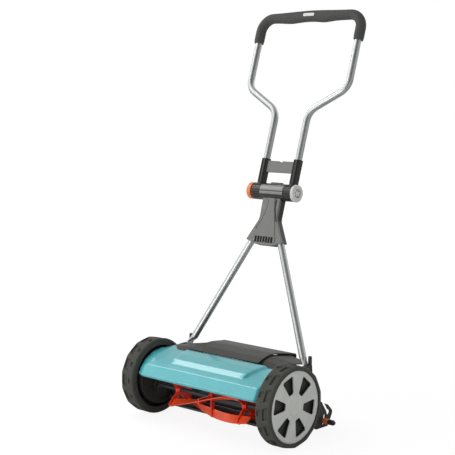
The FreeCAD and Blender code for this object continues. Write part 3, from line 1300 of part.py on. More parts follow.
# ----------------------------------------------------------------------------------------------
# Roller, roller arms and latches
# ----------------------------------------------------------------------------------------------
def make_roller_arm(side, sign):
    """Roller arm: a bent lever from its pivot past the roller's shaft to the latch."""
    body = new_body(f"{side}_roller_arm")
    outline = side_sketch(body, sign, "roller_arm_inner")
    wide = "roller_arm_half"
    add_loop(outline, [
        (f"arm_pivot_y - {wide}", f"arm_pivot_up + {wide} / 2", f"{wide} * 0.9"),
        (f"arm_pivot_y + {wide} / 2", f"arm_pivot_up + {wide}", f"{wide} * 0.9"),
        (f"roller_y", f"roller_radius + 2 * {wide}", f"3 * {wide}"),
        (f"latch_y + {wide}", f"latch_up + {wide}", f"{wide} * 0.9"),
        (f"latch_y + {wide}", f"latch_up - {wide}", f"{wide} * 0.9"),
        (f"roller_y", f"roller_radius - {wide}", f"2 * {wide}"),
        (f"arm_pivot_y - {wide}", f"arm_pivot_up - {wide}", f"{wide} * 0.9"),
    ])
    pad(body, outline, "roller_arm_wall", reverse=sign < 0)
    hole_across(body, sign, "roller_y", "roller_radius", "roller_shaft_radius", "roller_arm_inner",
                "roller_arm_wall")
    hole_across(body, sign, "arm_pivot_y", "arm_pivot_up", "arm_pivot_radius + running_fit",
                "roller_arm_inner", "roller_arm_wall")
    hole_across(body, sign, "latch_y", "latch_up", "latch_pin_radius + running_fit",
                "roller_arm_inner", "roller_arm_wall")
    return node(body, f"{side}_roller_arm")


def make_arm_pivot(side, sign):
    """Bolt that carries a roller arm, fixed in the side plate."""
    body = new_body(f"{side}_arm_pivot")
    head = "(roller_arm_inner - arm_pivot_radius / 2 - slot_fit)"
    cylinder_across(body, sign, "arm_pivot_y", "arm_pivot_up", "1.8 * arm_pivot_radius", head,
                    "arm_pivot_radius / 2")
    cylinder_across(body, sign, "arm_pivot_y", "arm_pivot_up", "arm_pivot_radius",
                    f"{head} + arm_pivot_radius / 2", f"plate_inner + plate_wall - {head} - arm_pivot_radius / 2")
    return body


def make_roller():
    """Hollow roller and the two plugs that run on its shaft."""
    body = new_body("roller_tube")
    sketch = new_sketch(body, "YZ_Plane")
    add_circle(sketch, "roller_y", "roller_radius", "roller_radius")
    add_circle(sketch, "roller_y", "roller_radius", "roller_radius - roller_wall")
    pad(body, sketch, "2 * roller_half", both=True)
    node(body, "roller_tube")
    plugs = []
    for side, sign in SIDES:
        plug = new_body(f"{side}_plug")
        sketch = side_sketch(plug, sign, "roller_half - plug_length")
        add_circle(sketch, "roller_y", "roller_radius", "roller_radius - roller_wall")
        add_circle(sketch, "roller_y", "roller_radius", "roller_shaft_radius + running_fit")
        pad(plug, sketch, "plug_length", reverse=sign < 0)
        plugs.append(plug)
    make_group("roller_plugs", plugs)


def make_latch(side, sign):
    """Latch: an orange sleeve on a pin through the arm and the plate, with a knob at its end."""
    plate_out = "(plate_inner + plate_wall + latch_gap)"
    sleeve = new_body(f"{side}_latch_sleeve")
    sketch = side_sketch(sleeve, sign, plate_out)
    add_circle(sketch, "latch_y", "latch_up", "latch_sleeve_radius")
    add_circle(sketch, "latch_y", "latch_up", "latch_pin_radius")
    pad(sleeve, sketch, "latch_sleeve_length", reverse=sign < 0)
    node(sleeve, f"{side}_latch_sleeve")
    knob = new_body(f"{side}_latch_knob")
    section = new_sketch(knob, "XY_Plane", up="latch_y", out="latch_up")
    start = f"{plate_out} + latch_sleeve_length"
    corners = [
        ("roller_arm_inner", "0"), ("roller_arm_inner", "latch_pin_radius"), (start, "latch_pin_radius"),
        (start, "0.8 * latch_knob_radius"), (f"{start} + 0.2 * latch_knob_length", "0.8 * latch_knob_radius"),
        (f"{start} + 0.2 * latch_knob_length", "latch_knob_radius"),
        (f"{start} + 0.8 * latch_knob_length", "latch_knob_radius"),
        (f"{start} + latch_knob_length", "0.6 * latch_knob_radius"), (f"{start} + latch_knob_length", "0"),
    ]
    add_loop(section, [(f"{sign} * ({across})", radius) for across, radius in corners])
    revolve(knob, section)
    node(knob, f"{side}_latch_knob")


for side, sign in SIDES:
    make_roller_arm(side, sign)
    make_latch(side, sign)
make_group("arm_pivot_bolts", [make_arm_pivot(side, sign) for side, sign in SIDES])
make_bar("roller_shaft", "roller_y", "roller_radius", "roller_shaft_radius",
         "roller_arm_inner + roller_arm_wall")
make_roller()


# ----------------------------------------------------------------------------------------------
# Lower handle. It is drawn in a plane of its own: x across, y up along the handle from the folding
# hinge, z out of its front. The same holds for the upper handle.
# ----------------------------------------------------------------------------------------------
def handle_place(lean):
    """Return where a handle's own plane stands: at the folding hinge, leaning back."""
    return Placement(Vector(0, value("hinge_y"), value("hinge_up")),
                     Rotation(Vector(1, 0, 0), 90 - value(lean)))


def handle_body(name, lean):
    """Start a body that is drawn in a handle's plane."""
    body = new_body(name)
    body.Placement = handle_place(lean)
    bind(body, "Placement.Base.y", "hinge_y")
    bind(body, "Placement.Base.z", "hinge_up")
    bind(body, "Placement.Rotation.Angle", f"90 - {lean}")
    return body


def lower_x(down):
    """Return how far the lower tubes are from the middle, at a distance below the hinge."""
    return value("lower_spread") * down - value("lower_cross")


def lower_tube_rod(sign, radius, start, end):
    """Return a rod along a lower tube's axis between two distances below the hinge."""
    top = Vector(sign * lower_x(start), -start, 0)
    low = Vector(sign * lower_x(end), -end, 0)
    return Part.makeCylinder(radius, (low - top).Length, top, low - top)


def make_lower_tube(side, sign):
    """Lower tube: round down to its foot, which is pressed flat and pierced for its bolt."""
    radius, wall = value("tube_radius"), value("tube_wall")
    top, low = value("lower_top"), value("lower_straight")
    tube = lower_tube_rod(sign, radius, top, low).cut(lower_tube_rod(sign, radius - wall, top, low))
    centre = Vector(sign * lower_x(low), -low, 0)
    direction = Vector(sign * value("lower_spread"), -1, 0)
    round_end = Part.Wire([Part.makeCircle(radius, centre, direction)])
    flat_x = sign * value("foot_outer - foot_wall / 2")
    pivot_down, half, thick = value("foot_down"), value("foot_half"), value("foot_wall")
    flat_top = -(pivot_down - value("foot_rise"))
    corners = [Vector(flat_x + a * thick / 2, flat_top, b * half)
               for a, b in ((-1, -1), (1, -1), (1, 1), (-1, 1), (-1, -1))]
    neck = Part.makeLoft([round_end, Part.makePolygon(corners)], True, False)
    plate = Part.makeBox(thick, value("foot_rise"), 2 * half,
                         Vector(flat_x - thick / 2, -pivot_down, -half))
    disc = Part.makeCylinder(half, thick, Vector(flat_x - thick / 2, -pivot_down, 0), Vector(1, 0, 0))
    hole = Part.makeCylinder(value("foot_bolt_radius"), 3 * thick,
                             Vector(flat_x - 1.5 * thick, -pivot_down, 0), Vector(1, 0, 0))
    shape = tube.fuse([neck, plate, disc]).removeSplitter().cut(hole)
    return solid_node(f"{side}_lower_tube", shape, handle_place("lower_lean"))


def make_yoke(name, front):
    """Yoke shell: an hourglass moulding over the tubes' ends, joined to the middle barrel."""
    body = handle_body(f"{name}_blank", "lower_lean")
    half = [
        ("yoke_top_half", "-1 * yoke_top_down"), ("yoke_waist_half", "-1 * yoke_waist_down", "yoke_waist_half"),
        ("yoke_foot_half", "-1 * yoke_foot_down", "tube_wall"), ("yoke_heel_half", "-1 * yoke_heel_down"),
        ("yoke_chin_half", "-1 * yoke_chin_down"),
    ]
    outline = new_sketch(body, "XY_Plane", out="yoke_split")
    add_loop(outline, half + [(_negate(corner[0]),) + corner[1:] for corner in reversed(half)])
    pad(body, outline, "yoke_half_wall - yoke_split" if front else "yoke_half_wall + yoke_split",
        reverse=not front)
    if front:
        add_yoke_panel(body)
        add_yoke_vents(body)
    rods = []
    for side, sign in SIDES:
        rod = doc.addObject("Part::Feature", f"{name}_{side}_seat")
        rod.Shape = lower_tube_rod(sign, value("tube_radius"), value("lower_top"), value("foot_down"))
        rod.Placement = handle_place("lower_lean")
        rods.append(rod)
    barrel = doc.addObject("Part::Cylinder", f"{name}_barrel_seat")
    bind(barrel, "Radius", "barrel_radius")
    bind(barrel, "Height", "2 * barrel_half")
    barrel.Placement = Placement(Vector(), Rotation(Vector(0, 1, 0), 90))
    bind(barrel, "Placement.Base.x", "-1 * barrel_half")
    bind(barrel, "Placement.Base.y", "hinge_y")
    bind(barrel, "Placement.Base.z", "hinge_up")
    return node(cut(f"{name}_seated", body, rods + [barrel]), name)


def add_yoke_panel(body):
    """Raise the yoke's middle panel, which is narrow at the barrel and spreads towards the tubes."""
    half = [
        ("panel_top_half", "-1 * yoke_top_down"),
        ("panel_waist_half", "-1 * yoke_waist_down + 2 * yoke_top_down", "yoke_waist_down"),
        ("panel_foot_half", "-1 * yoke_foot_down"), ("panel_foot_half - yoke_half_wall", "-1 * vent_low_down"),
    ]
    panel = new_sketch(body, "XY_Plane", out="yoke_half_wall")
    add_loop(panel, half + [(_negate(corner[0]),) + corner[1:] for corner in reversed(half)])
    pad(body, panel, "panel_relief")


def add_yoke_vents(body):
    """Sink the ribbed recess into the yoke, and leave its ribs standing."""
    spacing = "(2 * vent_half / vent_rib_count)"
    slots = new_sketch(body, "XY_Plane", out="yoke_half_wall + panel_relief")
    for number in range(int(value("vent_rib_count"))):
        left = f"-1 * vent_half + {number} * {spacing} + vent_rib / 2"
        right = f"-1 * vent_half + {number + 1} * {spacing} - vent_rib / 2"
        add_loop(slots, [
            (left, "-1 * vent_top_down"), (right, "-1 * vent_top_down"),
            (right, "-1 * vent_low_down"), (left, "-1 * vent_low_down"),
        ])
    pocket(body, slots, "vent_depth + panel_relief")


def make_barrel():
    """Middle barrel of the folding hinge, with a thumb rest on top and a running bore for the rod."""
    body = handle_body("hinge_barrel", "lower_lean")
    sketch = new_sketch(body, "YZ_Plane")
    add_circle(sketch, "0", "0", "barrel_radius")
    pad(body, sketch, "2 * barrel_half", both=True)
    rest = new_sketch(body, "YZ_Plane")
    add_loop(rest, [
        ("0", "-1 * thumb_rest_half / 2"), ("barrel_radius + thumb_rest_height", "-1 * thumb_rest_half / 4"),
        ("barrel_radius + thumb_rest_height", "thumb_rest_half / 4"), ("0", "thumb_rest_half / 2"),
    ])
    pad(body, rest, "2 * thumb_rest_half", both=True)
    bore = add_circle(new_sketch(body, "YZ_Plane"), "0", "0", "rod_radius + running_fit")
    pocket(body, bore, "4 * barrel_half", both=True)
    return node(body, "hinge_barrel")


for side, sign in SIDES:
    make_lower_tube(side, sign)
make_yoke("yoke_front", True)
make_yoke("yoke_rear", False)
make_barrel()


def make_foot_bolt(side, sign):
    """Shoulder bolt on which one foot of the handle tilts; its thread is in the side plate's lug."""
    body = new_body(f"{side}_foot_bolt")
    inner = "(foot_outer - foot_wall - slot_fit)"
    cylinder_across(body, sign, FOOT_Y, FOOT_UP, "foot_head_radius", f"{inner} - foot_head", "foot_head")
    cylinder_across(body, sign, FOOT_Y, FOOT_UP, "foot_bolt_radius - running_fit", inner,
                    f"boss_inner - {inner}")
    cylinder_across(body, sign, FOOT_Y, FOOT_UP, "foot_bolt_radius", "boss_inner",
                    "plate_inner + plate_wall - boss_inner")
    return body


make_group("foot_bolts", [make_foot_bolt(side, sign) for side, sign in SIDES])


# ----------------------------------------------------------------------------------------------
# Upper handle
# ----------------------------------------------------------------------------------------------
def make_socket(side, sign):
    """Tube socket: an outer barrel of the folding hinge with a grooved channel that holds the tube."""
    body = handle_body(f"{side}_socket", "upper_lean")
    start = "barrel_half + knuckle_gap"
    ring = side_sketch(body, sign, start)
    add_circle(ring, "0", "0", "barrel_radius")
    pad(body, ring, f"knuckle_end - ({start})", reverse=sign < 0)
    groove = side_sketch(body, sign, start)
    add_loop(groove, [
        ("-1 * groove_half", "barrel_radius - groove_depth"), ("groove_half", "barrel_radius - groove_depth"),
        ("groove_half", "barrel_radius + groove_depth"), ("-1 * groove_half", "barrel_radius + groove_depth"),
    ])
    feature = pocket(body, groove, f"knuckle_end - ({start})", reverse=sign > 0)
    polar_pattern(body, feature, (ring, ["N_Axis"]), "groove_count")
    sleeve = add_circle(new_sketch(body, "XZ_Plane"), f"{sign} * upper_half", "0", "socket_radius")
    pad(body, sleeve, "socket_top", reverse=True)
    slot = new_sketch(body, "XY_Plane", out="socket_radius")
    inner = f"{sign} * upper_half - socket_groove_half"
    outer = f"{sign} * upper_half + socket_groove_half"
    add_loop(slot, [
        (inner, "barrel_radius + socket_groove"), (outer, "barrel_radius + socket_groove"),
        (outer, "socket_top"), (inner, "socket_top"),
    ])
    pocket(body, slot, "socket_groove")
    tube_hole = new_sketch(body, "XZ_Plane", out="-1 * socket_top")
    add_circle(tube_hole, f"{sign} * upper_half", "0", "tube_radius")
    pocket(body, tube_hole, "socket_top - socket_floor", reverse=True)
    rod_hole = side_sketch(body, sign, start)
    add_circle(rod_hole, "0", "0", "rod_radius")
    pocket(body, rod_hole, f"knuckle_end - ({start})", reverse=sign > 0)
    if sign < 0:
        stem = side_sketch(body, sign, "knuckle_end - button_stem")
        add_circle(stem, "0", "0", "button_stem_radius + button_fit")
        pocket(body, stem, "button_stem", reverse=sign > 0)
    return node(body, f"{side}_socket")


def make_bridge(sockets):
    """Bridge plate between the sockets, with a small notch in its upper edge."""
    body = handle_body("bridge_plate_blank", "upper_lean")
    outline = new_sketch(body, "XY_Plane")
    half = "(upper_half - tube_radius)"
    add_loop(outline, [
        (f"-1 * {half}", "bridge_low"), (half, "bridge_low"), (half, "bridge_high"),
        ("bridge_notch_half", "bridge_high"), ("bridge_notch_half / 2", "bridge_high - bridge_notch"),
        ("-1 * bridge_notch_half / 2", "bridge_high - bridge_notch"),
        ("-1 * bridge_notch_half", "bridge_high"), (f"-1 * {half}", "bridge_high"),
    ])
    pad(body, outline, "2 * bridge_half_wall", both=True)
    return node(cut("bridge_plate_seated", body, sockets), "bridge_plate")


def bent_path(points, radii):
    """Return a wire of straight runs joined by tangent arcs."""
    edges = []
    start = points[0]
    for before, corner, after, radius in zip(points, points[1:], points[2:], radii):
        trim = _tangent_length(before, corner, after, radius)
        first = corner + (before - corner).normalize() * trim
        last = corner + (after - corner).normalize() * trim
        inward = ((first - corner).normalize() + (last - corner).normalize()).normalize()
        half = (first - corner).getAngle(last - corner) / 2
        middle = corner + inward * (radius / math.sin(half) - radius)
        edges += [Part.makeLine(start, first), Part.Arc(first, middle, last).toShape()]
        start = last
    edges.append(Part.makeLine(start, points[-1]))
    return Part.Wire(edges)


def swept(path, radius):
    """Return a round bar along a path."""
    edge = path.OrderedEdges[0]
    start = edge.valueAt(edge.FirstParameter)
    section = Part.Wire([Part.makeCircle(radius, start, edge.tangentAt(edge.FirstParameter))])
    return path.makePipeShell([section], True, False)


def upper_points(low):
    """Return the corners of the upper handle's middle line, from one open end to the other."""
    half, arm, bar = value("upper_half"), value("arm_half"), value("grip_up")
    right = [(half, low), (half, value("flare_low")), (arm, value("flare_high")), (arm, bar)]
    outline = right + [(-x, y) for x, y in reversed(right)]
    return [Vector(x, y, 0) for x, y in outline]


def make_upper_tube():
    """Upper tube: one bent tube from socket to socket, flared to the width of the grip."""
    flare, bend = value("flare_radius"), value("grip_bend")
    path = bent_path(upper_points(value("socket_floor")), [flare, flare, bend, bend, flare, flare])
    radius = value("tube_radius")
    shape = swept(path, radius).cut(swept(path, radius - value("tube_wall")))
    return solid_node("upper_tube", shape, handle_place("upper_lean"))


def make_grip():
    """Soft grip over the tube's bar and its upper corners, seated round the tube."""
    arm, bar, low = value("arm_half"), value("grip_up"), value("grip_low")
    points = [Vector(arm, low, 0), Vector(arm, bar, 0), Vector(-arm, bar, 0), Vector(-arm, low, 0)]
    path = bent_path(points, [value("grip_bend")] * 2)
    shape = swept(path, value("grip_radius")).cut(swept(path, value("tube_radius")))
    return solid_node("grip", shape, handle_place("upper_lean"))


def make_badge():
    """Plain badge on the front of the grip; it has no lettering."""
    body = handle_body("grip_badge_block", "upper_lean")
    outline = new_sketch(body, "XY_Plane", across="badge_x", up="grip_up", out="tube_radius + tube_wall")
    corner = "0.45 * badge_height"
    add_loop(outline, [
        ("-1 * badge_half", "-1 * badge_low", corner), ("badge_half", "-1 * badge_low", corner),
        ("badge_half", "badge_height - badge_low", corner), ("-1 * badge_half", "badge_height - badge_low", corner),
    ])
    pad(body, outline, "grip_radius - tube_radius - tube_wall + badge_rise")
    return body


make_bridge([make_socket(side, sign) for side, sign in SIDES])
make_upper_tube()
grip = make_grip()
badge = cut("grip_badge_seated", make_badge(), [grip])
node(badge, "grip_badge")


# ----------------------------------------------------------------------------------------------
# Parts on the hinge axis
# ----------------------------------------------------------------------------------------------
def make_hinge_rod():
    """Hinge rod: fixed in the outer barrels, running in the middle one."""
    body = handle_body("hinge_rod", "upper_lean")
    start = "(knuckle_end - button_stem)"
    sketch = side_sketch(body, -1, start)
    add_circle(sketch, "0", "0", "rod_radius")
    pad(body, sketch, f"knuckle_end + {start}")
    return node(body, "hinge_rod")


def make_end_cap():
    """Cap on the right end of the hinge, with a round recess."""
    body = handle_body("hinge_end_cap", "upper_lean")
    section = new_sketch(body, "XY_Plane")
    rim = "end_cap_radius"
    add_loop(section, [
        ("knuckle_end", "0"), ("knuckle_end", rim), ("knuckle_end + 0.7 * end_cap_length", rim),
        ("knuckle_end + end_cap_length", f"{rim} - 0.3 * end_cap_length"),
        ("knuckle_end + end_cap_length", "end_cap_recess_radius"),
        ("knuckle_end + end_cap_length - end_cap_recess", "end_cap_recess_radius - 1"),
        ("knuckle_end + end_cap_length - end_cap_recess", "0"),
    ])
    revolve(body, section)
    return node(body, "hinge_end_cap")


def make_release_button():
    """Release button on the left end of the hinge: a domed cap on a stem that slides in the barrel."""
    body = handle_body("release_button", "upper_lean")
    section = new_sketch(body, "XY_Plane")
    near = "(knuckle_end + button_travel + button_fit)"
    far = f"({near} + button_length - button_travel)"
    inner = "(knuckle_end - button_stem + button_travel + button_fit)"
    corners = [
        (inner, "0"), (inner, "button_stem_radius"), (near, "button_stem_radius"), (near, "button_radius"),
        (f"{far} - 0.3 * button_length", "button_radius"), (far, "0.85 * button_radius"), (far, "0"),
    ]
    add_loop(section, [(f"-1 * {across}", radius) for across, radius in corners])
    revolve(body, section)
    return node(body, "release_button")


make_hinge_rod()
make_end_cap()
make_release_button()


def make_yoke_screw(name, x, down):
    """Screw through the yoke shells, its head on the rear shell."""
    body = handle_body(name, "lower_lean")
    head = add_circle(new_sketch(body, "XY_Plane", out="-1 * (yoke_half_wall + screw_head)"), x, down,
                      "screw_head_radius")
    pad(body, head, "screw_head")
    return body


make_group("yoke_screws", [
    make_yoke_screw("upper_yoke_screw_left", "-0.6 * yoke_top_half", "-2 * yoke_top_down"),
    make_yoke_screw("upper_yoke_screw_right", "0.6 * yoke_top_half", "-2 * yoke_top_down"),
    make_yoke_screw("lower_yoke_screw_left", "-1 * yoke_chin_half / 2", "-1 * yoke_foot_down"),
    make_yoke_screw("lower_yoke_screw_right", "yoke_chin_half / 2", "-1 * yoke_foot_down"),
])


# ----------------------------------------------------------------------------------------------
# Check every object, then write the sub-parts
# ----------------------------------------------------------------------------------------------
doc.recompute()
for thing in doc.Objects:
    if "Invalid" in thing.State or "Error" in thing.State:
        raise ValueError(f"{thing.Name} ({thing.Label}) failed: {thing.State}")
os.makedirs("parts", exist_ok=True)
for thing in nodes:
    shape = thing.Shape
    if shape.isNull() or not shape.isValid() or not shape.Solids:
        raise ValueError(f"{thing.Label} has no valid shape")
    shape.exportStep(os.path.join("parts", f"{thing.Label}.step"))
print(f"{len(nodes)} sub-parts written")
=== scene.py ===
"""Looks of a hand-pushed reel mower, dressed and detailed round its packed construction model.

Everything is in metres, in the construction's frame. The origin is on the ground below the wheel
axis, +X points across towards the right wheel, -Y is the mowing direction and +Z is up.
"""

import json
import logging
import math
from dataclasses import dataclass
from enum import Enum
from typing import Callable, Optional, Sequence, Union

import bmesh
import bpy
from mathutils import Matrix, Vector


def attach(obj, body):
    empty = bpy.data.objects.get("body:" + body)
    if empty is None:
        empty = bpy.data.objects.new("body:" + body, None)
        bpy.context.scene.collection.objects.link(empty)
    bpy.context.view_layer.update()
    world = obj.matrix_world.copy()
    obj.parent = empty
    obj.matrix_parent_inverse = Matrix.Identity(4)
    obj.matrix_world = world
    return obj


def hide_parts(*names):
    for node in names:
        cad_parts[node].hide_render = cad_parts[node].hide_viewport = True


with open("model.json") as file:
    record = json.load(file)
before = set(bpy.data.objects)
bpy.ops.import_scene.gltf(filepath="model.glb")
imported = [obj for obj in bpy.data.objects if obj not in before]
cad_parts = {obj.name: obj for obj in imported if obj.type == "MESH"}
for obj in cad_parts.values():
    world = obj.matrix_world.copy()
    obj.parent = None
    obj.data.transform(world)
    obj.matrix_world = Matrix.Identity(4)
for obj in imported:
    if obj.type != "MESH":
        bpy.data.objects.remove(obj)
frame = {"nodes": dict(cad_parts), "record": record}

LOG = logging.getLogger("reel_mower")

Colour = tuple[float, float, float]
Point = tuple[float, float, float]
Pair = tuple[float, float]

WHITE = (1.0, 1.0, 1.0, 1.0)
WELD = 1e-6
BEVEL_SAMPLES = 4
EDGE_RANGE = (0.01, 0.12)
# Octaves of the noises: a sprayed coat, fine grain, broad patches, and scratches, dust or bloom.
PEEL_OCTAVES, GRAIN_OCTAVES, PATCH_OCTAVES, FINE_OCTAVES = 1.5, 4.0, 5.0, 6.0


# ----------------------------------------------------------------------------------------------
# Shader maths
# ----------------------------------------------------------------------------------------------
class Socket:
    """An output socket of a material's node, on which Python's operators add Math nodes."""

    def __init__(self, shader: "Shader", link: Optional[bpy.types.NodeSocket]) -> None:
        """Keep the socket and the shader that it belongs to.

        Args:
            shader: the shader whose tree holds the socket.
            link: the node's output socket, or None for a node that has no output.
        """
        self.shader = shader
        self.link = link

    def maths(self, operation: str, *values: "Value") -> "Socket":
        """Add a Math node that starts from this socket.

        Args:
            operation: the Math node's operation.
            values: the node's other inputs, numbers or sockets.

        Returns:
            The node's output.
        """
        inputs = dict(enumerate((self, *values)))
        return self.shader.node("ShaderNodeMath", {"operation": operation}, inputs)

    def __add__(self, other: "Value") -> "Socket":
        """Return this plus a value."""
        return self.maths("ADD", other)

    __radd__ = __add__

    def __sub__(self, other: "Value") -> "Socket":
        """Return this minus a value."""
        return self.maths("SUBTRACT", other)

    def __rsub__(self, other: "Value") -> "Socket":
        """Return a value minus this."""
        return self.shader.node("ShaderNodeMath", {"operation": "SUBTRACT"}, {0: other, 1: self})

    def __mul__(self, other: "Value") -> "Socket":
        """Return this times a value."""
        return self.maths("MULTIPLY", other)

    __rmul__ = __mul__

    def ramp(self, low: float, high: float) -> "Socket":
        """Return a smooth step from 0 at one value to 1 at another.

        Args:
            low: where the step starts.
            high: where it ends.

        Returns:
            The step, between 0 and 1.
        """
        settings = {"interpolation_type": "SMOOTHSTEP"}
        values = {"Value": self, "From Min": low, "From Max": high}
        return self.shader.node("ShaderNodeMapRange", settings, values)


Value = Union[Socket, float]


class Shader:
    """The node tree of a material or of the world."""

    def __init__(self, owner: Union[bpy.types.Material, bpy.types.World]) -> None:
        """Empty the owner's tree.

        Args:
            owner: the material or the world that the nodes belong to.
        """
        self.owner = owner
        owner.use_nodes = True
        self.tree = owner.node_tree
        self.tree.nodes.clear()

    def node(self, kind: str, settings: Optional[dict] = None, inputs: Optional[dict] = None,
             output: Union[int, str] = 0) -> Socket:
        """Add any node.

        Args:
            kind: the node's type.
            settings: the node's properties, which are set before its inputs.
            inputs: numbers, colours or sockets, by the input's name or place.
            output: the name or the place of the output wanted.

        Returns:
            The output, which is empty for a node that has none.
        """
        made = self.tree.nodes.new(kind)
        for key, setting in (settings or {}).items():
            setattr(made, key, setting)
        for key, value in (inputs or {}).items():
            if isinstance(value, Socket):
                self.tree.links.new(value.link, made.inputs[key])
            else:
                made.inputs[key].default_value = value
        return Socket(self, made.outputs[output] if len(made.outputs) else None)

    def place(self) -> Socket:
        """Return the point on the surface, in the piece's own space."""
        return self.node("ShaderNodeTexCoord", output="Object")

    def split(self, vector: Socket, axis: str) -> Socket:
        """Return one part of a vector, "X", "Y" or "Z"."""
        return self.node("ShaderNodeSeparateXYZ", inputs={0: vector}, output=axis)

    def stretched(self, vector: Socket, factors: Point) -> Socket:
        """Return a vector scaled by its own factor along each axis."""
        return self.vectors("MULTIPLY", vector, factors)

    def vectors(self, operation: str, *values: Union[Socket, Point],
                output: str = "Vector") -> Socket:
        """Add a Vector Math node.

        Args:
            operation: the node's operation.
            values: its inputs, in order.
            output: "Vector", or "Value" for an operation that gives a number.

        Returns:
            The output.
        """
        inputs = dict(enumerate(values))
        return self.node("ShaderNodeVectorMath", {"operation": operation}, inputs, output)

    def noise(self, size: float, detail: float, vector: Optional[Socket] = None) -> Socket:
        """Return a noise between 0 and 1.

        Args:
            size: the size of its features, in metres.
            detail: how many finer octaves it holds.
            vector: where it is looked up, or None for the point on the surface.

        Returns:
            The noise.
        """
        values = {"Vector": vector or self.place(), "Scale": 1.0 / size, "Detail": detail}
        return self.node("ShaderNodeTexNoise", inputs=values)

    def mix(self, share: Value, first: Union[Socket, Colour],
            second: Union[Socket, Colour]) -> Socket:
        """Return a colour between two others.

        Args:
            share: how much of the second colour there is.
            first: the first colour.
            second: the second colour.

        Returns:
            The mixed colour.
        """
        factor, colour_a, colour_b, result = 0, 6, 7, 2
        ends = [end if isinstance(end, Socket) else (*end, 1.0) for end in (first, second)]
        inputs = {factor: share, colour_a: ends[0], colour_b: ends[1]}
        return self.node("ShaderNodeMix", {"data_type": "RGBA"}, inputs, result)

    def softened(self, radius: float) -> Socket:
        """Return the normal with its sharp edges rounded to a radius."""
        return self.node("ShaderNodeBevel", {"samples": BEVEL_SAMPLES}, {"Radius": radius})

    def normal(self) -> Socket:
        """Return the surface's own normal."""
        return self.node("ShaderNodeNewGeometry", output="Normal")

    def edges(self, radius: float) -> Socket:
        """Return a mask that is 1 on sharp edges and 0 on flat faces.

        Args:
            radius: how far the mask reaches from an edge.

        Returns:
            The mask.
        """
        dot = self.vectors("DOT_PRODUCT", self.softened(radius), self.normal(), output="Value")
        return (1.0 - dot).ramp(*EDGE_RANGE)

    def bump(self, height: Socket, depth: float, normal: Socket) -> Socket:
        """Return a normal with a relief.

        Args:
            height: the relief, between 0 and 1.
            depth: what 1 stands for, in metres.
            normal: the normal that it starts from.

        Returns:
            The normal.
        """
        inputs = {"Height": height, "Distance": depth, "Normal": normal}
        return self.node("ShaderNodeBump", inputs=inputs)

    def close(self, shader: Socket, kind: str = "ShaderNodeOutputMaterial") -> None:
        """Link a shader to the output that ends the tree.

        Args:
            shader: the shader.
            kind: the output node's type.
        """
        self.node(kind, inputs={"Surface": shader})


# ----------------------------------------------------------------------------------------------
# Finishes
# ----------------------------------------------------------------------------------------------
@dataclass(frozen=True)
class Finish:
    """A moulded or painted surface: its colour, and how it varies, wears and feels."""

    name: str
    slot: str
    colour: Colour
    roughness: float = 0.5
    metallic: float = 0.0
    mottle: float = 0.10
    mottle_size: float = 0.035
    mottle_range: Pair = (0.3, 0.7)
    roughness_swing: float = 0.8
    grain: float = 0.00008
    grain_size: float = 0.0009
    wear: float = 0.25
    wear_colour: Colour = (0.55, 0.55, 0.53)
    scratch_size: float = 0.004
    scratch_range: Pair = (0.42, 0.75)
    edge: float = 0.0007
    coat: float = 0.0
    coat_roughness: float = 0.10
    shine: float = 0.5
    dust: float = 0.0
    dust_size: float = 0.012
    dust_range: Pair = (0.35, 0.8)
    dust_slope: Pair = (0.1, 1.0)
    dust_colour: Colour = (0.42, 0.38, 0.31)

    def tint(self, shader: Shader, colour: Socket) -> Socket:
        """Return the colour with what this kind of surface adds to it."""
        return colour

    def relief(self, shader: Shader) -> Socket:
        """Return the surface's fine relief, between 0 and 1."""
        return shader.noise(self.grain_size, GRAIN_OCTAVES)

    def material(self) -> bpy.types.Material:
        """Make the finish's material the first time that it is asked for.

        Returns:
            The material.
        """
        known = bpy.data.materials.get(self.name)
        if known is not None:
            return known
        shader = Shader(bpy.data.materials.new(self.name))
        patches = shader.noise(self.mottle_size, PATCH_OCTAVES)
        darker = tuple(channel * (1.0 - self.mottle) for channel in self.colour)
        lighter = tuple(min(1.0, channel * (1.0 + self.mottle)) for channel in self.colour)
        colour = self.tint(shader, shader.mix(patches.ramp(*self.mottle_range), darker, lighter))
        if self.wear:
            scratches = shader.noise(self.scratch_size, FINE_OCTAVES).ramp(*self.scratch_range)
            rubbed = shader.edges(self.edge) * scratches * self.wear
            colour = shader.mix(rubbed, colour, self.wear_colour)
        if self.dust:
            level = shader.split(shader.normal(), "Z").ramp(*self.dust_slope)
            specks = shader.noise(self.dust_size, FINE_OCTAVES).ramp(*self.dust_range)
            colour = shader.mix(level * specks * self.dust, colour, self.dust_colour)
        inputs = {
            "Base Color": colour,
            "Roughness": self.roughness + (patches - 0.5) * (self.mottle * self.roughness_swing),
            "Metallic": self.metallic,
            "Specular IOR Level": self.shine,
            "Normal": shader.bump(self.relief(shader), self.grain, shader.softened(self.edge)),
        }
        if self.coat:
            inputs["Coat Weight"] = self.coat
            inputs["Coat Roughness"] = self.coat_roughness
        shader.close(shader.node("ShaderNodeBsdfPrincipled", inputs=inputs))
        return shader.owner


@dataclass(frozen=True)
class Enamel(Finish):
    """Sprayed or powder-coated metal: an orange-peel relief under a thin gloss."""

    peel: float = 0.0022

    def relief(self, shader: Shader) -> Socket:
        """Return the soft orange-peel relief of a sprayed coat."""
        return shader.noise(self.peel, PEEL_OCTAVES)


@dataclass(frozen=True)
class Brushed(Finish):
    """Drawn or brushed metal: fine lines along Y."""

    along: Point = (1.0, 0.03, 1.0)

    def relief(self, shader: Shader) -> Socket:
        """Return fine lines that run along Y."""
        drawn_out = shader.stretched(shader.place(), self.along)
        return shader.noise(self.grain_size, PATCH_OCTAVES, drawn_out)


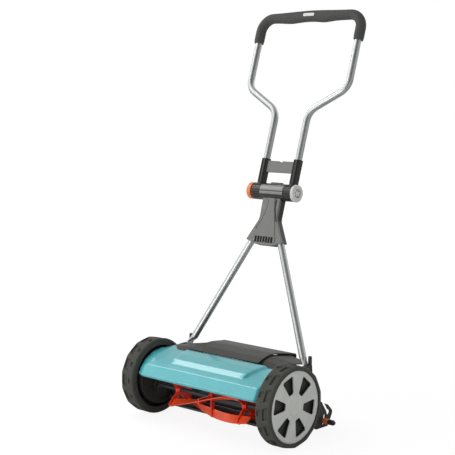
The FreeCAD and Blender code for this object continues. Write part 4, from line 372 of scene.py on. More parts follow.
@dataclass(frozen=True)
class Rubber(Finish):
    """Tyre rubber: matt, with soil specks dried on the tread, and painted shade nearer the axle: a
    flat dark colour below the tread's full radius, in the pockets and notches and on the walls.
    """

    soil: Colour = (0.16, 0.135, 0.105)
    # A flat dark colour that paints shade into the pockets, the notches and the walls.
    painted_shade_colour: Colour = (0.026, 0.026, 0.024)
    bloom: float = 0.45
    bloom_size: float = 0.02
    bloom_range: Pair = (0.42, 0.72)
    axle: Point = (0.0, 0.0, 0.110)
    # Radii over which the painted shade below gives way to the soiled tread.
    soil_and_shade_radii: Pair = (0.1045, 0.1070)

    def tint(self, shader: Shader, colour: Socket) -> Socket:
        """Add the soil, which only the tread holds, and painted shade below the tread: in the
        pockets, the notches and on the walls.

        Args:
            shader: the material's node tree.
            colour: the rubber's own colour.

        Returns:
            The soiled colour, with its painted shade.
        """
        specks = shader.noise(self.bloom_size, FINE_OCTAVES).ramp(*self.bloom_range) * self.bloom
        flat = shader.stretched(shader.place(), (0.0, 1.0, 1.0))
        from_axle = shader.vectors("SUBTRACT", flat, self.axle)
        radius = shader.vectors("LENGTH", from_axle, output="Value")
        soiled = shader.mix(specks, colour, self.soil)
        # Painted shade: below the tread's full radius the rubber takes a flat dark colour, which
        # darkens the pockets, the notches and the walls.
        return shader.mix(1.0 - radius.ramp(*self.soil_and_shade_radii), soiled, self.painted_shade_colour)


@dataclass(frozen=True)
class Foam(Finish):
    """Closed-cell foam: a pebbled skin."""

    def relief(self, shader: Shader) -> Socket:
        """Return the pebbles of the foam's skin."""
        inputs = {"Vector": shader.place(), "Scale": 1.0 / self.grain_size}
        return shader.node("ShaderNodeTexVoronoi", inputs=inputs, output="Distance")


class Finishes(Enum):
    """The finishes that the mower is made in.

    Where two finishes share a slot, the first is the one that the slot's own nodes wear.
    """

    BLACK_PLASTIC = Finish("moulded_black", "black_plastic", (0.034, 0.034, 0.031), 0.42,
                           shine=0.28, dust=0.06)
    TEAL = Enamel("teal_enamel", "teal_cover", (0.068, 0.455, 0.500), 0.38, mottle=0.03,
                  wear=0.35, grain=0.00002, coat=0.8)
    BLADE_STEEL = Brushed("ground_blade_steel", "blade_steel", (0.14, 0.14, 0.135), 0.38, 0.9,
                          grain=0.00002)
    BLACK_STEEL = Enamel("black_enamel", "blackened_steel", (0.030, 0.030, 0.030), 0.42,
                         grain=0.00003)
    ZINC = Finish("zinc_plate", "zinc_steel", (0.62, 0.62, 0.59), 0.34, 1.0, grain=0.00001,
                  wear=0.0)
    BRONZE = Finish("oiled_bronze", "bronze_bush", (0.50, 0.36, 0.18), 0.40, 1.0, wear=0.0)
    SINTERED = Finish("sintered_steel", "sintered_steel", (0.30, 0.30, 0.30), 0.45, 1.0, wear=0.0)
    RED = Enamel("red_enamel", "red_paint", (0.95, 0.040, 0.014), 0.34, mottle=0.06,
                 grain=0.00003, coat=0.3, wear=0.5)
    # Painted light: the spiders' red enamel made lighter and more orange for the blades, standing
    # in for the light that falls on their faces.
    RED_BLADE_PAINTED_LIGHT = Enamel("blade_enamel_painted_light", "red_paint", (0.95, 0.085, 0.014), 0.30, mottle=0.08,
                       grain=0.00003, coat=0.4, wear=0.6)
    TYRE = Rubber("tyre_rubber", "tyre_rubber", (0.068, 0.061, 0.057), 0.66, wear=0.12,
                  wear_colour=(0.20, 0.18, 0.16), grain=0.00012)
    GREY_PLASTIC = Finish("moulded_grey", "grey_plastic", (0.66, 0.675, 0.64), 0.42,
                          mottle=0.04, dust=0.10)
    BUSH = Finish("acetal", "bush_plastic", (0.72, 0.71, 0.66), 0.35)
    ORANGE = Finish("moulded_orange", "orange_plastic", (0.90, 0.25, 0.085), 0.36, mottle=0.05)
    ALUMINIUM = Brushed("drawn_aluminium", "handle_aluminium", (0.46, 0.47, 0.47), 0.40, 1.0,
                        mottle=0.03, grain=0.00001, wear=0.0)
    YOKE = Finish("moulded_mid_grey", "yoke_plastic", (0.175, 0.175, 0.167), 0.42, mottle=0.04)
    PANEL = Finish("hinge_panel_grey", "yoke_plastic", (0.25, 0.25, 0.24), 0.34, mottle=0.04)
    HINGE = Finish("moulded_dark", "hinge_plastic", (0.024, 0.024, 0.023), 0.34,
                   shine=0.25, coat=0.4)
    GRIP = Foam("grip_foam", "grip_foam", (0.070, 0.073, 0.070), 0.40, grain=0.00016,
                grain_size=0.0016, wear=0.0, coat=0.35)
    LIGHT_PLASTIC = Finish("moulded_light", "light_plastic", (0.70, 0.70, 0.665), 0.34,
                           mottle=0.03)

    @classmethod
    def of_slot(cls, slot: str) -> "Finishes":
        """Return the first finish of one of the record's material slots."""
        return next(member for member in cls if member.value.slot == slot)


# ----------------------------------------------------------------------------------------------
# Mesh making
# ----------------------------------------------------------------------------------------------
class Build:
    """The points and faces of one piece while it is being made."""

    def __init__(self) -> None:
        """Start with nothing."""
        self.points: list[Point] = []
        self.faces: list[tuple[int, ...]] = []

    def sheet(self, rows: Sequence[Sequence[Point]], ringed: bool = False,
              looped: bool = False) -> None:
        """Join rows of points into a sheet of quads.

        Args:
            rows: the rows, which all hold as many points.
            ringed: whether each row closes on itself.
            looped: whether the last row joins the first.
        """
        first, width = len(self.points), len(rows[0])
        for row in rows:
            self.points.extend(row)
        for i in range(len(rows) if looped else len(rows) - 1):
            low, high = first + i * width, first + ((i + 1) % len(rows)) * width
            for j in range(width if ringed else width - 1):
                after = (j + 1) % width
                self.faces.append((low + j, low + after, high + after, high + j))

    def lid(self, ring: Sequence[Point]) -> None:
        """Close a ring of points with one face.

        Args:
            ring: the points, in order.
        """
        first = len(self.points)
        self.points.extend(ring)
        self.faces.append(tuple(range(first, first + len(ring))))

    def tube(self, rings: Sequence[Sequence[Point]]) -> None:
        """Join rings into a closed body with a lid on each end.

        Args:
            rings: the rings, which all hold as many points.
        """
        self.sheet(rings, ringed=True)
        self.lid(rings[0])
        self.lid(rings[-1])

    def prism(self, outline: Sequence[Pair], levels: Pair, place: Callable[..., Point]) -> None:
        """Raise a flat outline between two levels.

        Args:
            outline: the outline's corners.
            levels: the two levels.
            place: turns the outline's two numbers and a level into a point.
        """
        self.tube([[place(*corner, level) for corner in outline] for level in levels])

    def piece(self, name: str, finish: Finishes, body: str,
              crease: float = 32.0) -> bpy.types.Object:
        """Finish the mesh, dress it and put it on its body.

        Args:
            name: the piece's name.
            finish: its finish.
            body: the body that it rides on.
            crease: the angle in degrees above which an edge is sharp.

        Returns:
            The finished object.
        """
        mesh = bpy.data.meshes.new(name)
        mesh.from_pydata(self.points, [], self.faces)
        work = bmesh.new()
        work.from_mesh(mesh)
        bmesh.ops.remove_doubles(work, verts=work.verts, dist=WELD)
        bmesh.ops.recalc_face_normals(work, faces=work.faces)
        work.to_mesh(mesh)
        work.free()
        for polygon in mesh.polygons:
            polygon.use_smooth = True
        mesh.set_sharp_from_angle(angle=math.radians(crease))
        made = bpy.data.objects.new(name, mesh)
        bpy.context.scene.collection.objects.link(made)
        mesh.materials.append(finish.value.material())
        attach(made, body)
        LOG.info("made %s on %s", name, body)
        return made


def circle(radius: float, count: int) -> list[Pair]:
    """Return a number of points round a circle, counter-clockwise."""
    angles = [math.tau * i / count for i in range(count)]
    return [(radius * math.cos(angle), radius * math.sin(angle)) for angle in angles]


def rectangle(half_width: float, half_height: float) -> list[Pair]:
    """Return the corners of a rectangle about the origin."""
    return [(-half_width, -half_height), (half_width, -half_height),
            (half_width, half_height), (-half_width, half_height)]


def rounded(corners: Sequence[Pair], radius: float, steps: int = 4,
            closed: bool = True) -> list[Pair]:
    """Round the corners of a line.

    Args:
        corners: the line's corners.
        radius: how far from a corner its curve starts.
        steps: how many points each curve holds.
        closed: whether the line closes on itself.

    Returns:
        The points of the rounded line.
    """
    points: list[Pair] = [] if closed else [corners[0]]
    count = len(corners)
    for i in range(count) if closed else range(1, count - 1):
        corner = Vector(corners[i])
        ends = [corner + (Vector(corners[other % count]) - corner).normalized() * radius
                for other in (i - 1, i + 1)]
        for step in range(steps + 1):
            share = step / steps
            rest = 1 - share
            point = ends[0] * rest ** 2 + corner * 2 * share * rest + ends[1] * share ** 2
            points.append((point.x, point.y))
    return points if closed else points + [corners[-1]]


def smooth(share: float) -> float:
    """Return a smooth step from 0 to 1 of a share that is clamped to that range."""
    share = max(0.0, min(1.0, share))
    return share * share * (3.0 - 2.0 * share)


def between(first: float, second: float, share: float) -> float:
    """Return the number a share of the way from one to another."""
    return first + (second - first) * share


@dataclass(frozen=True)
class Leaning:
    """A handle's own plane: it passes through the folding hinge and leans back."""

    lean: float
    hinge_y: float = 0.2437
    hinge_up: float = 0.6453

    def at(self, across: float, along: float, out: float = 0.0) -> Point:
        """Return a point of the handle.

        Args:
            across: to the right of the mower's middle.
            along: up the handle from the hinge.
            out: out of the plane, towards the front.

        Returns:
            The point in the mower's frame.
        """
        slope, rise = math.sin(math.radians(self.lean)), math.cos(math.radians(self.lean))
        return (across, self.hinge_y + along * slope - out * rise,
                self.hinge_up + along * rise + out * slope)


LOWER = Leaning(16.1)
UPPER = Leaning(17.5)


# ----------------------------------------------------------------------------------------------
# Sub-assemblies
# ----------------------------------------------------------------------------------------------
class Assembly:
    """A sub-assembly: it makes its pieces, dresses them and puts them on their bodies."""

    nodes: tuple[str, ...] = ()
    special: dict[str, Finishes] = {}

    def build(self) -> None:
        """Make the pieces that the construction model only holds plainly."""

    def dress(self) -> None:
        """Give every construction node of the assembly its finish."""
        slots = {part["node"]: part["material_slot"] for part in frame["record"]["subparts"]}
        for name in self.nodes:
            piece = frame["nodes"][name]
            finish = self.special.get(name, Finishes.of_slot(slots[name]))
            piece.data.materials.clear()
            piece.data.materials.append(finish.value.material())
            LOG.info("dressed %s", name)


def both(*names: str) -> tuple[str, ...]:
    """Return the left and the right node of each name."""
    return tuple(f"{side}_{name}" for name in names for side in ("left", "right"))


@dataclass(frozen=True)
class Cut:
    """A slanted hollow that repeats round the tread. Its lengths round the tyre are in blocks."""

    depth: float
    middle: float
    half: float
    end: float
    sides: Pair
    walls: Pair
    slant: float = 6.0

    def at(self, local: float, across: float) -> float:
        """Return how deep the hollow is at a point.

        Args:
            local: the point's place round the tyre from its block's middle, in blocks.
            across: its distance from the tyre's inner side.

        Returns:
            The depth.
        """
        slanted = local + (across - self.middle) * self.slant
        long = smooth((self.half - abs(slanted)) / self.end)
        wide = (smooth((across - self.sides[0]) / self.walls[0])
                * smooth((self.sides[1] - across) / self.walls[1]))
        return self.depth * long * wide


@dataclass
class Wheels(Assembly):
    """The two driven wheels and what they run on.

    A tyre's section starts at its bead, climbs the inner wall, crosses the tread and comes down the
    outer wall. Its pairs are distances from the tyre's inner side and from the axle.
    """

    nodes = both("tyre", "rim", "wheel_cover", "wheel_bush", "axle") + ("axle_clips",)
    radius: float = 0.110
    inner: float = 0.232
    inner_wall: tuple[Pair, ...] = (
        (0.0410, 0.0978), (0.0410, 0.0960), (0.0030, 0.0960), (0.0030, 0.0910), (0.0000, 0.0910),
        (0.0000, 0.1040), (0.0005, 0.1062), (0.0020, 0.1085), (0.0045, 0.1098), (0.0065, 0.1100))
    tread: tuple[float, ...] = (
        0.0075, 0.0120, 0.0165, 0.0179, 0.0187, 0.0195, 0.0220, 0.0242, 0.0250, 0.0258, 0.0270,
        0.0300, 0.0340, 0.0380, 0.0410, 0.0420, 0.0428, 0.0436, 0.0445)
    outer_wall: tuple[Pair, ...] = ((0.0465, 0.1092), (0.0482, 0.1076), (0.0490, 0.1055))
    outer_foot: Pair = (0.0490, 0.0978)
    shoulder: float = 0.046
    blocks: int = 14
    steps: int = 26
    flat_share: float = 0.7
    flat_from: float = 0.010
    flat_reach: float = 0.014
    pocket: Cut = Cut(depth=0.0048, middle=0.034, half=0.335, end=0.035,
                      sides=(0.0242, 0.0436), walls=(0.0016, 0.0016))
    notch: Cut = Cut(depth=0.0036, middle=0.012, half=0.160, end=0.030,
                     sides=(0.0035, 0.0195), walls=(0.0020, 0.0016))
    crease: float = 38.0

    def _drop(self, turn: float, across: float) -> float:
        """Return how far the tread is below its full radius at a point.

        Args:
            turn: the point's place round the tyre, in blocks.
            across: its distance from the tyre's inner side.

        Returns:
            The drop.
        """
        local = turn % 1.0 - 0.5
        corner = math.pi / self.blocks
        flat = self.radius * (1.0 - math.cos(corner) / math.cos(2 * corner * local))
        fade = smooth((across - self.flat_from) / self.flat_reach)
        hollow = self.pocket.at(local, across) + self.notch.at(local, across)
        return flat * self.flat_share * fade + hollow

    def _section(self, turn: float) -> list[Pair]:
        """Return the tyre's section at a place round it.

        Args:
            turn: the place, in blocks.

        Returns:
            The section's points.
        """
        tread = [(across, self.radius - self._drop(turn, across)) for across in self.tread]
        fall = self._drop(turn, self.shoulder)
        outer = [(across, radius - fall) for across, radius in self.outer_wall]
        return [*self.inner_wall, *tread, *outer, self.outer_foot]

    def build(self) -> None:
        """Make both tyres, with flats round the tread, a pocket in each, and a row of notches."""
        for side, sign in (("left", -1), ("right", 1)):
            rings = []
            for i in range(self.blocks * self.steps):
                turn = i / self.steps
                angle = math.tau * turn / self.blocks - math.pi / 2
                rings.append([(sign * (self.inner + across), radius * math.cos(angle),
                               self.radius + radius * math.sin(angle))
                              for across, radius in self._section(turn)])
            tyre = Build()
            tyre.sheet(rings, ringed=True, looped=True)
            made = tyre.piece(f"{side}_moulded_tyre", Finishes.TYRE, f"{side}_wheel", self.crease)
            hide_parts(f"{side}_tyre")


@dataclass
class ReelCover(Assembly):
    """Pressed cover over the reel: a rolled lip, a crease, a raised brow and raised shoulders.

    Its lines run from front to back, as pairs of Y and Z: the lip and the sheet beside the brow,
    the brow's own line, and the lip and the arch that the sheet takes at both ends. The half widths
    are at the crease, each with what it has gained at the rear edge.
    """

    nodes = ("reel_cover",)
    middle: float = 0.014
    end: float = 0.229
    skin: float = 0.0022
    lip: tuple[Pair, ...] = ((-0.0950, 0.1305), (-0.0995, 0.1315), (-0.1024, 0.1350),
                             (-0.1024, 0.1392), (-0.0982, 0.1413))
    sheet: tuple[Pair, ...] = ((-0.084, 0.1656), (-0.064, 0.1750), (-0.040, 0.1828),
                               (-0.014, 0.1895), (0.014, 0.1940))
    brow: tuple[Pair, ...] = ((-0.084, 0.1656), (-0.064, 0.1757), (-0.0517, 0.1876),
                              (-0.020, 0.1958), (0.014, 0.1999))
    arch: tuple[Pair, ...] = ((-0.0795, 0.1500), (-0.060, 0.1708), (-0.030, 0.1880),
                              (0.004, 0.1945), (0.040, 0.1900))
    end_lip: tuple[Pair, ...] = ((-0.0800, 0.1305), (-0.0842, 0.1315), (-0.0870, 0.1348),
                                 (-0.0870, 0.1384), (-0.0836, 0.1402))
    lip_corner: float = 0.0010
    sheet_corner: float = 0.0026
    brow_half: Pair = (0.1285, 0.018)
    flank_half: Pair = (0.133, 0.027)
    waist_half: Pair = (0.2007, -0.014)
    waist_pace: float = 2.0
    shoulder_half: Pair = (0.2035, 0.014)
    rim: float = 0.006
    counts: tuple[int, ...] = (10, 6, 8, 6, 20, 6, 8, 6, 10)
    lift: float = 0.0095
    lift_pace: float = 2.5
    lift_fall: float = 0.6
    reach_back: float = 0.024
    crease: float = 24.0

    def _columns(self, rise: float) -> list[tuple[float, float, float, float]]:
        """Return the columns of the sheet at a height on it.

        Args:
            rise: 0 at the crease and 1 at the rear edge.

        Returns:
            Each column's place across, and its shares of the arched end, the shoulder and the brow.
        """
        brow, flank, shoulder = (start + gain * rise for start, gain in
                                 (self.brow_half, self.flank_half, self.shoulder_half))
        waist = self.waist_half[0] + self.waist_half[1] * min(1.0, self.waist_pace * rise)
        keys = []
        for side in (-1, 1):
            edge = min(shoulder, self.end - self.rim - side * self.middle)
            half = [(side * self.end, 1.0, 1.0, 0.0)]
            half += [(self.middle + side * across, 0.0, raised, high) for across, raised, high in
                     ((edge, 1.0, 0.0), (waist, 0.0, 0.0), (flank, 0.0, 0.0), (brow, 0.0, 1.0))]
            keys += half if side < 0 else half[::-1]
        columns = []
        for first, second, count in zip(keys, keys[1:], self.counts):
            for step in range(count):
                share = step / count
                columns.append((between(first[0], second[0], share),
                                between(first[1], second[1], share) ** 2,
                                between(first[2], second[2], share),
                                between(first[3], second[3], smooth(share))))
        return columns + [keys[-1]]

    def _skin_rows(self) -> list[list[Point]]:
        """Lay out the cover's outer skin.

        Returns:
            Its rows, from the lip's foot to the rear edge.
        """
        lip, end_lip = (rounded(line, self.lip_corner, closed=False)
                        for line in (self.lip, self.end_lip))
        sheet, brow, arch = (rounded((foot[-1], *line), self.sheet_corner, closed=False)[1:]
                             for foot, line in ((self.lip, self.sheet), (self.lip, self.brow),
                                                (self.end_lip, self.arch)))
        rows = []
        for point, last in zip(lip, end_lip):
            rows.append([(place, between(point[0], last[0], end), between(point[1], last[1], end))
                         for place, end, _, _ in self._columns(0.0)])
        crease, rear = self.sheet[0][0], self.sheet[-1][0]
        for point, raised, last in zip(sheet, brow, arch):
            rise = max(0.0, (point[0] - crease) / (rear - crease))
            lift = smooth(rise * self.lift_pace) * (1.0 - self.lift_fall * rise)
            row = []
            for place, end, shoulder, high in self._columns(rise):
                back, up = (between(point[axis], raised[axis], high) for axis in (0, 1))
                back += self.reach_back * shoulder * rise
                up += self.lift * shoulder * lift
                row.append((place, between(back, last[0], end), between(up, last[1], end)))
            rows.append(row)
        return rows

    def build(self) -> None:
        """Make the cover as a closed thin shell."""
        rows = self._skin_rows()
        width = len(rows)
        rings = []
        for line in zip(*rows):
            inner = []
            for j, point in enumerate(line):
                before, after = line[max(j - 1, 0)], line[min(j + 1, width - 1)]
                along = Vector((after[1] - before[1], after[2] - before[2])).normalized()
                inner.append((point[0], point[1] + along.y * self.skin,
                              point[2] - along.x * self.skin))
            rings.append([*line, *reversed(inner)])
        shell = Build()
        shell.sheet(rings, ringed=True)
        last = 2 * width - 1
        for ring in (rings[0], rings[-1]):
            for j in range(width - 1):
                shell.lid([ring[j], ring[j + 1], ring[last - 1 - j], ring[last - j]])
        made = shell.piece("cover_shell", Finishes.TEAL, "chassis", self.crease)
        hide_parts("reel_cover")


@dataclass
class Deck(Assembly):
    """Side plates, rear hood, flap, knife and the frame's fasteners."""

    nodes = both("side_plate") + ("rear_hood", "deflector_flap", "flap_hinge_pin", "bedknife",
                                  "bedknife_carrier", "tie_rod", "frame_screws", "arm_pivot_bolts",
                                  "foot_bolts", "reel_bearings")


@dataclass
class Reel(Assembly):
    """The cutting reel: shaft, spiders, four twisted blades and the pinions that drive it."""

    nodes = ("reel_shaft", "left_spider", "centre_spider", "right_spider", "reel_blade_1",
             "reel_blade_2", "reel_blade_3", "reel_blade_4", "left_pinion", "right_pinion",
             "ratchet_keys")
    # The blades wear the red enamel's copy with painted light, lighter and more orange than the
    # spiders.
    special = {f"reel_blade_{number}": Finishes.RED_BLADE_PAINTED_LIGHT for number in (1, 2, 3, 4)}


@dataclass
class Roller(Assembly):
    """The rear roller, its arms and the latches that set the cutting height."""

    nodes = both("roller_arm", "latch_sleeve", "latch_knob") + ("roller_shaft", "roller_tube",
                                                                "roller_plugs")


@dataclass
class LowerHandle(Assembly):
    """The lower tubes and the yoke that joins them to the folding hinge.

    The seams' and the vent's pairs are across and along the handle, from the hinge. A panel is its
    name and the angles above the front at which it starts and stops.
    """

    nodes = both("lower_tube") + ("yoke_front", "yoke_rear", "yoke_screws", "hinge_barrel")
    face: float = 0.0151
    left_seam: tuple[Pair, ...] = (
        (-0.0075, -0.0240), (-0.0078, -0.038), (-0.0095, -0.051), (-0.0145, -0.069),
        (-0.0205, -0.0845), (-0.0290, -0.100), (-0.0370, -0.1120))
    right_seam: tuple[Pair, ...] = (
        (0.0205, -0.0235), (0.0192, -0.036), (0.0198, -0.049), (0.0232, -0.063),
        (0.0285, -0.076), (0.0345, -0.088))
    seam_halves: Pair = (0.0007, 0.0019)
    seam_corner: float = 0.006
    seam_steps: int = 6
    seam_proud: float = 0.0003
    seam_deep: float = 0.0021
    vent: tuple[Pair, ...] = ((-0.034, -0.1495), (0.034, -0.1495), (0.036, -0.1335),
                              (-0.036, -0.1335))
    vent_corner: float = 0.002
    vent_levels: Pair = (0.0095, 0.0105)
    barrel_radius: float = 0.0245
    panels: tuple[tuple[str, float, float], ...] = (("upper_barrel_panel", -2.0, 48.0),
                                                    ("lower_barrel_panel", -26.0, -5.0))
    panel_half: float = 0.0425
    panel_middle: float = 0.0015
    panel_margin: float = 0.001
    panel_steps: int = 14
    panel_edge_steps: float = 2.0
    panel_proud: float = 0.0007
    panel_sunk: float = -0.0004
    panel_foot: float = -0.001
    panel_crease: float = 40.0

    def _panel(self, name: str, start: float, stop: float) -> None:
        """Make a thin smooth panel that wraps part of the hinge's middle barrel.

        Args:
            name: the piece's name.
            start: the angle above the front where it starts, in degrees.
            stop: the angle where it stops.
        """
        half, steps = self.panel_half, self.panel_steps
        places = (-half, -half + self.panel_margin, half - self.panel_margin, half)
        outer, inner = [], []
        for step in range(steps + 1):
            angle = math.radians(between(start, stop, step / steps))
            edge = smooth(min(step, steps - step) / self.panel_edge_steps)
            for rows, proud in ((outer, between(self.panel_sunk, self.panel_proud, edge)),
                                (inner, self.panel_foot)):
                radius = self.barrel_radius + proud
                along, out = radius * math.sin(angle), radius * math.cos(angle)
                rows.append([LOWER.at(place + self.panel_middle, along, out) for place in places])
        panel = Build()
        panel.sheet(outer)
        panel.sheet(inner)
        for side in (0, -1):
            panel.sheet([[row[side] for row in outer], [row[side] for row in inner]])
            panel.sheet([outer[side], inner[side]])
        panel.piece(name, Finishes.PANEL, "lower_handle", self.panel_crease)

    def _seam(self, name: str, corners: Sequence[Pair], half: float) -> None:
        """Make a dark seam that stands a little out of the yoke's face.

        Args:
            name: the piece's name.
            corners: the corners of its middle line.
            half: half its width.
        """
        line = rounded(corners, self.seam_corner, self.seam_steps, closed=False)
        foot, top = self.face - self.seam_deep, self.face + self.seam_proud
        rings = []
        for i, point in enumerate(line):
            before, after = line[max(i - 1, 0)], line[min(i + 1, len(line) - 1)]
            along = (Vector(after) - Vector(before)).normalized() * half
            rings.append([LOWER.at(point[0] + along.y * turn, point[1] - along.x * turn, out)
                          for turn, out in ((1, foot), (1, top), (-1, top), (-1, foot))])
        seam = Build()
        seam.tube(rings)
        seam.piece(name, Finishes.HINGE, "lower_handle")

    def build(self) -> None:
        """Make the yoke's seams and vent backing, and the barrel's smooth panels."""
        self._seam("left_yoke_seam", self.left_seam, self.seam_halves[0])
        self._seam("right_yoke_seam", self.right_seam, self.seam_halves[1])
        vent = Build()
        vent.prism(rounded(self.vent, self.vent_corner), self.vent_levels, LOWER.at)
        vent.piece("vent_backing", Finishes.HINGE, "lower_handle")
        for name, start, stop in self.panels:
            self._panel(name, start, stop)


@dataclass
class UpperHandle(Assembly):
    """The folding upper handle with its padded grip.

    The grip's reaches are taken from its middle line: outward and inward on its sides, and outward
    on its top, at the handle's middle and at the bends. A finger swell is its place across and its
    width. Levels are counted out of the grip's middle line, or across from the handle's middle.
    """

    nodes = both("socket") + ("bridge_plate", "upper_tube", "grip", "grip_badge", "hinge_rod",
                              "hinge_end_cap", "release_button")
    half: float = 0.1855
    top: float = 0.532
    low: float = 0.454
    bend: float = 0.042
    path_counts: tuple[int, int, int] = (8, 16, 60)
    facets: int = 40
    depth: float = 0.0160
    side_reach: Pair = (0.0155, 0.0134)
    above_reach: Pair = (0.0172, 0.0130)
    below_reach: float = 0.0158
    middle_reach: float = 0.150
    swell: float = 0.0040
    swells: tuple[Pair, ...] = ((-0.075, 0.036), (0.050, 0.030))
    straight: float = 0.99
    end_fall: float = 0.07
    end_rings: float = 2.0
    bore: float = 0.0101
    grip_crease: float = 50.0
    badge_half: Pair = (0.0205, 0.0044)
    badge_corner: float = 0.0040
    badge_levels: Pair = (0.0150, 0.0170)
    recess_radius: float = 0.0117
    recess_levels: Pair = (0.0774, 0.0778)
    star_radius: float = 0.0090
    star_wave: float = 0.0022
    star_points: int = 6
    star_facets: int = 48
    star_levels: Pair = (0.0765, 0.0805)
    crease: float = 40.0

    def _grip_path(self) -> list[tuple[Pair, Pair]]:
        """Lay out the grip's middle line.

        Returns:
            Its points, each with its outward direction.
        """
        straight, bent, crossing = self.path_counts
        corner, start = self.half - self.bend, self.top - self.bend
        side: list[tuple[Pair, Pair]] = []
        for step in range(straight):
            side.append(((-self.half, between(self.low, start, step / straight)), (-1.0, 0.0)))
        for step in range(bent + 1):
            angle = math.pi - math.pi / 2 * step / bent
            out = (math.cos(angle), math.sin(angle))
            side.append(((-corner + self.bend * out[0], start + self.bend * out[1]), out))
        middle = [((between(-corner, corner, step / crossing), self.top), (0.0, 1.0))
                  for step in range(1, crossing)]
        mirrored = [((-place[0], place[1]), (-out[0], out[1])) for place, out in reversed(side)]
        return side + middle + mirrored

    def _reach(self, place: Pair, out: Pair) -> Pair:
        """Return how far the grip reaches outward and inward from its middle line at a point.

        Args:
            place: the point on the middle line.
            out: its outward direction.

        Returns:
            The two reaches.
        """
        share = smooth(abs(place[0]) / self.middle_reach)
        swells = sum(math.exp(-(((place[0] - middle) / width) ** 2))
                     for middle, width in self.swells)
        above = between(*self.above_reach, share)
        below = self.below_reach + self.swell * swells * (out[1] > self.straight)
        return (between(self.side_reach[0], above, out[1]),
                between(self.side_reach[1], below, smooth(out[1])))

    def _grip(self) -> None:
        """Make the grip with its finger swells, open at both ends for the tube."""
        rings = []
        path = self._grip_path()
        unit = circle(1.0, self.facets)
        for i, (place, out) in enumerate(path):
            above, below = self._reach(place, out)
            from_end = min(i, len(path) - 1 - i)
            end = 1.0 - self.end_fall * max(0.0, 1.0 - from_end / self.end_rings)
            ring = []
            for across, along in unit:
                reach = across * end * (above if across > 0 else below)
                ring.append(UPPER.at(place[0] + out[0] * reach, place[1] + out[1] * reach,
                                     along * self.depth * end))
            rings.append(ring)
        mouths = [[UPPER.at(place[0] + out[0] * a * self.bore, place[1] + out[1] * a * self.bore,
                            b * self.bore) for a, b in unit] for place, out in (path[0], path[-1])]
        grip = Build()
        grip.sheet([mouths[0], *rings, mouths[1]], ringed=True)
        made = grip.piece("moulded_grip", Finishes.GRIP, "upper_handle", self.grip_crease)
        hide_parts("grip")

    def _badge(self) -> None:
        """Make the plain badge, which follows the grip's round top."""
        badge = Build()
        outline = rounded(rectangle(*self.badge_half), self.badge_corner)
        badge.prism(outline, self.badge_levels, lambda a, b, level: UPPER.at(
            a, self.top + level * math.sin(b / self.depth), level * math.cos(b / self.depth)))
        made = badge.piece("plain_badge", Finishes.LIGHT_PLASTIC, "upper_handle", self.crease)
        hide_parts("grip_badge")

    def _cap(self, name: str, outline: Sequence[Pair], levels: Pair, finish: Finishes) -> None:
        """Make a flat piece that stands across the handle, on the hinge's end cap.

        Args:
            name: the piece's name.
            outline: its outline, along the handle and out of it.
            levels: where it starts and stops across the handle.
            finish: its finish.
        """
        cap = Build()
        cap.prism(outline, levels, lambda a, b, level: UPPER.at(level, a, b))
        cap.piece(name, finish, "upper_handle", self.crease)

    def build(self) -> None:
        """Make the grip, its plain badge, and the recess and the star in the hinge's cap."""
        self._grip()
        self._badge()
        recess = circle(self.recess_radius, self.facets)
        self._cap("cap_recess", recess, self.recess_levels, Finishes.HINGE)
        star = []
        for i in range(self.star_facets):
            angle = math.tau * i / self.star_facets
            reach = self.star_radius + self.star_wave * math.cos(self.star_points * angle)
            star.append((reach * math.cos(angle), reach * math.sin(angle)))
        self._cap("cap_star", star, self.star_levels, Finishes.LIGHT_PLASTIC)


# ----------------------------------------------------------------------------------------------
# Studio
# ----------------------------------------------------------------------------------------------
@dataclass(frozen=True)
class Lamp:
    """A square soft lamp: its name, its place, its side in metres and its power in watts."""

    name: str
    place: Point
    size: float
    power: float


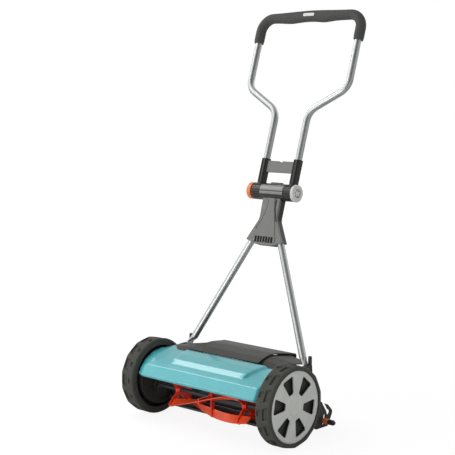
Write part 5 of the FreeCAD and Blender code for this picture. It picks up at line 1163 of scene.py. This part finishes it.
@dataclass
class Studio:
    """Floor, light and camera.

    Mirror-like surfaces see a world that is dark on one side, within an angle of a direction given
    in degrees from the front towards the right.
    """

    camera_place: Point = (2.1797, -2.3141, 0.9288)
    azimuth: float = 42.81
    elevation: float = 6.56
    lens: float = 92.42
    sensor: float = 36.0
    clip: float = 100.0
    lamps: tuple[Lamp, ...] = (
        Lamp("front_box", (-0.7, -3.2, 0.70), 1.8, 42.0),
        Lamp("left_box", (-2.4, -1.0, 2.0), 3.0, 22.0),
        Lamp("right_box", (3.2, -0.6, 1.0), 3.0, 14.0),
        Lamp("top_box", (-1.4, -1.1, 3.2), 2.4, 18.0),
        Lamp("gleam", (-1.95, -0.38, 2.25), 0.8, 8.0),
        Lamp("rim", (0.6, 2.9, 2.4), 3.0, 20.0))
    lamp_target: Point = (0.0, 0.0, 0.4)
    floor_half: float = 12.0
    floor_grey: float = 0.80
    floor_glow: float = 1.11
    floor_gain: float = 0.15
    floor_range: Pair = (0.9, 3.5)
    floor_seen: float = 0.80
    world_level: float = 0.36
    mirror_level: float = 0.70
    dark_level: float = 0.08
    dark_reach: float = 40.0
    dark_fade: float = 9.0
    dark_side: float = 52.0
    dark_top: Pair = (0.93, 0.80)

    def build(self) -> None:
        """Make the camera, the floor, the lamps and the world."""
        self._camera()
        self._floor()
        for lamp in self.lamps:
            self._lamp(lamp)
        self._world()
        bpy.context.scene.view_settings.view_transform = "Standard"
        LOG.info("studio ready")

    def _camera(self) -> None:
        """Make the camera and aim it."""
        data = bpy.data.cameras.new("camera")
        data.lens = self.lens
        data.sensor_width = self.sensor
        data.clip_end = self.clip
        camera = bpy.data.objects.new("camera", data)
        azimuth, elevation = math.radians(self.azimuth), math.radians(self.elevation)
        level = math.cos(elevation)
        back = Vector((math.sin(azimuth) * level, -math.cos(azimuth) * level, math.sin(elevation)))
        camera.location = self.camera_place
        camera.rotation_mode = "QUATERNION"
        camera.rotation_quaternion = (-back).to_track_quat("-Z", "Y")
        bpy.context.scene.collection.objects.link(camera)
        bpy.context.scene.camera = camera

    def _floor(self) -> None:
        """Lay the pale floor, most of whose glow only the camera sees."""
        mesh = bpy.data.meshes.new("floor")
        corners = rectangle(self.floor_half, self.floor_half)
        mesh.from_pydata([(*corner, 0.0) for corner in corners], [], [(0, 1, 2, 3)])
        floor = bpy.data.objects.new("floor", mesh)
        bpy.context.scene.collection.objects.link(floor)
        shader = Shader(bpy.data.materials.new("pale_floor"))
        grey = (self.floor_grey,) * 3 + (1.0,)
        matt = shader.node("ShaderNodeBsdfDiffuse", inputs={"Color": grey})
        away = shader.vectors("LENGTH", shader.place(), output="Value")
        strength = away.ramp(*self.floor_range) * self.floor_gain + self.floor_glow
        glow = shader.node("ShaderNodeEmission", inputs={"Color": WHITE, "Strength": strength})
        seen = shader.node("ShaderNodeLightPath", output="Is Camera Ray") * self.floor_seen
        shader.close(shader.node("ShaderNodeMixShader", inputs={0: seen, 1: matt, 2: glow}))
        mesh.materials.append(shader.owner)

    def _lamp(self, lamp: Lamp) -> None:
        """Hang a lamp that points at the middle of the mower.

        Args:
            lamp: the lamp.
        """
        data = bpy.data.lights.new(lamp.name, "AREA")
        data.size = lamp.size
        data.energy = lamp.power
        made = bpy.data.objects.new(lamp.name, data)
        made.location = lamp.place
        made.rotation_mode = "QUATERNION"
        sight = Vector(self.lamp_target) - Vector(lamp.place)
        made.rotation_quaternion = sight.to_track_quat("-Z", "Y")
        bpy.context.scene.collection.objects.link(made)

    def _world(self) -> None:
        """Make the world: soft and grey with a dark side, and white where it is looked at."""
        world = bpy.data.worlds.new("studio")
        shader = Shader(world)
        azimuth = math.radians(self.dark_side)
        sight = shader.node("ShaderNodeTexCoord", output="Generated")
        flat = shader.vectors("NORMALIZE", shader.stretched(sight, (1.0, 1.0, 0.0)))
        side = (math.sin(azimuth), -math.cos(azimuth), 0.0)
        facing = shader.vectors("DOT_PRODUCT", flat, side, output="Value")
        dark = facing.ramp(math.cos(math.radians(self.dark_reach + self.dark_fade)),
                           math.cos(math.radians(self.dark_reach)))
        below = shader.split(sight, "Z").ramp(*self.dark_top)
        glossy = shader.node("ShaderNodeLightPath", output="Is Glossy Ray")
        camera = shader.node("ShaderNodeLightPath", output="Is Camera Ray")
        level = self.world_level + glossy * (self.mirror_level - self.world_level)
        level = level * (1.0 - dark * below * glossy * (1.0 - self.dark_level))
        soft = shader.node("ShaderNodeBackground", inputs={"Color": WHITE, "Strength": level})
        white = shader.node("ShaderNodeBackground", inputs={"Color": WHITE, "Strength": 1.0})
        mixed = shader.node("ShaderNodeMixShader", inputs={0: camera, 1: soft, 2: white})
        shader.close(mixed, "ShaderNodeOutputWorld")
        bpy.context.scene.world = world


def main() -> None:
    """Build the mower's looks in order and report each step."""
    logging.basicConfig(level=logging.INFO, format="%(message)s")
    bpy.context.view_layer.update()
    Studio().build()
    for assembly in (Wheels(), ReelCover(), Deck(), Reel(), Roller(), LowerHandle(), UpperHandle()):
        assembly.build()
        assembly.dress()


if __name__ == "__main__":
    main()
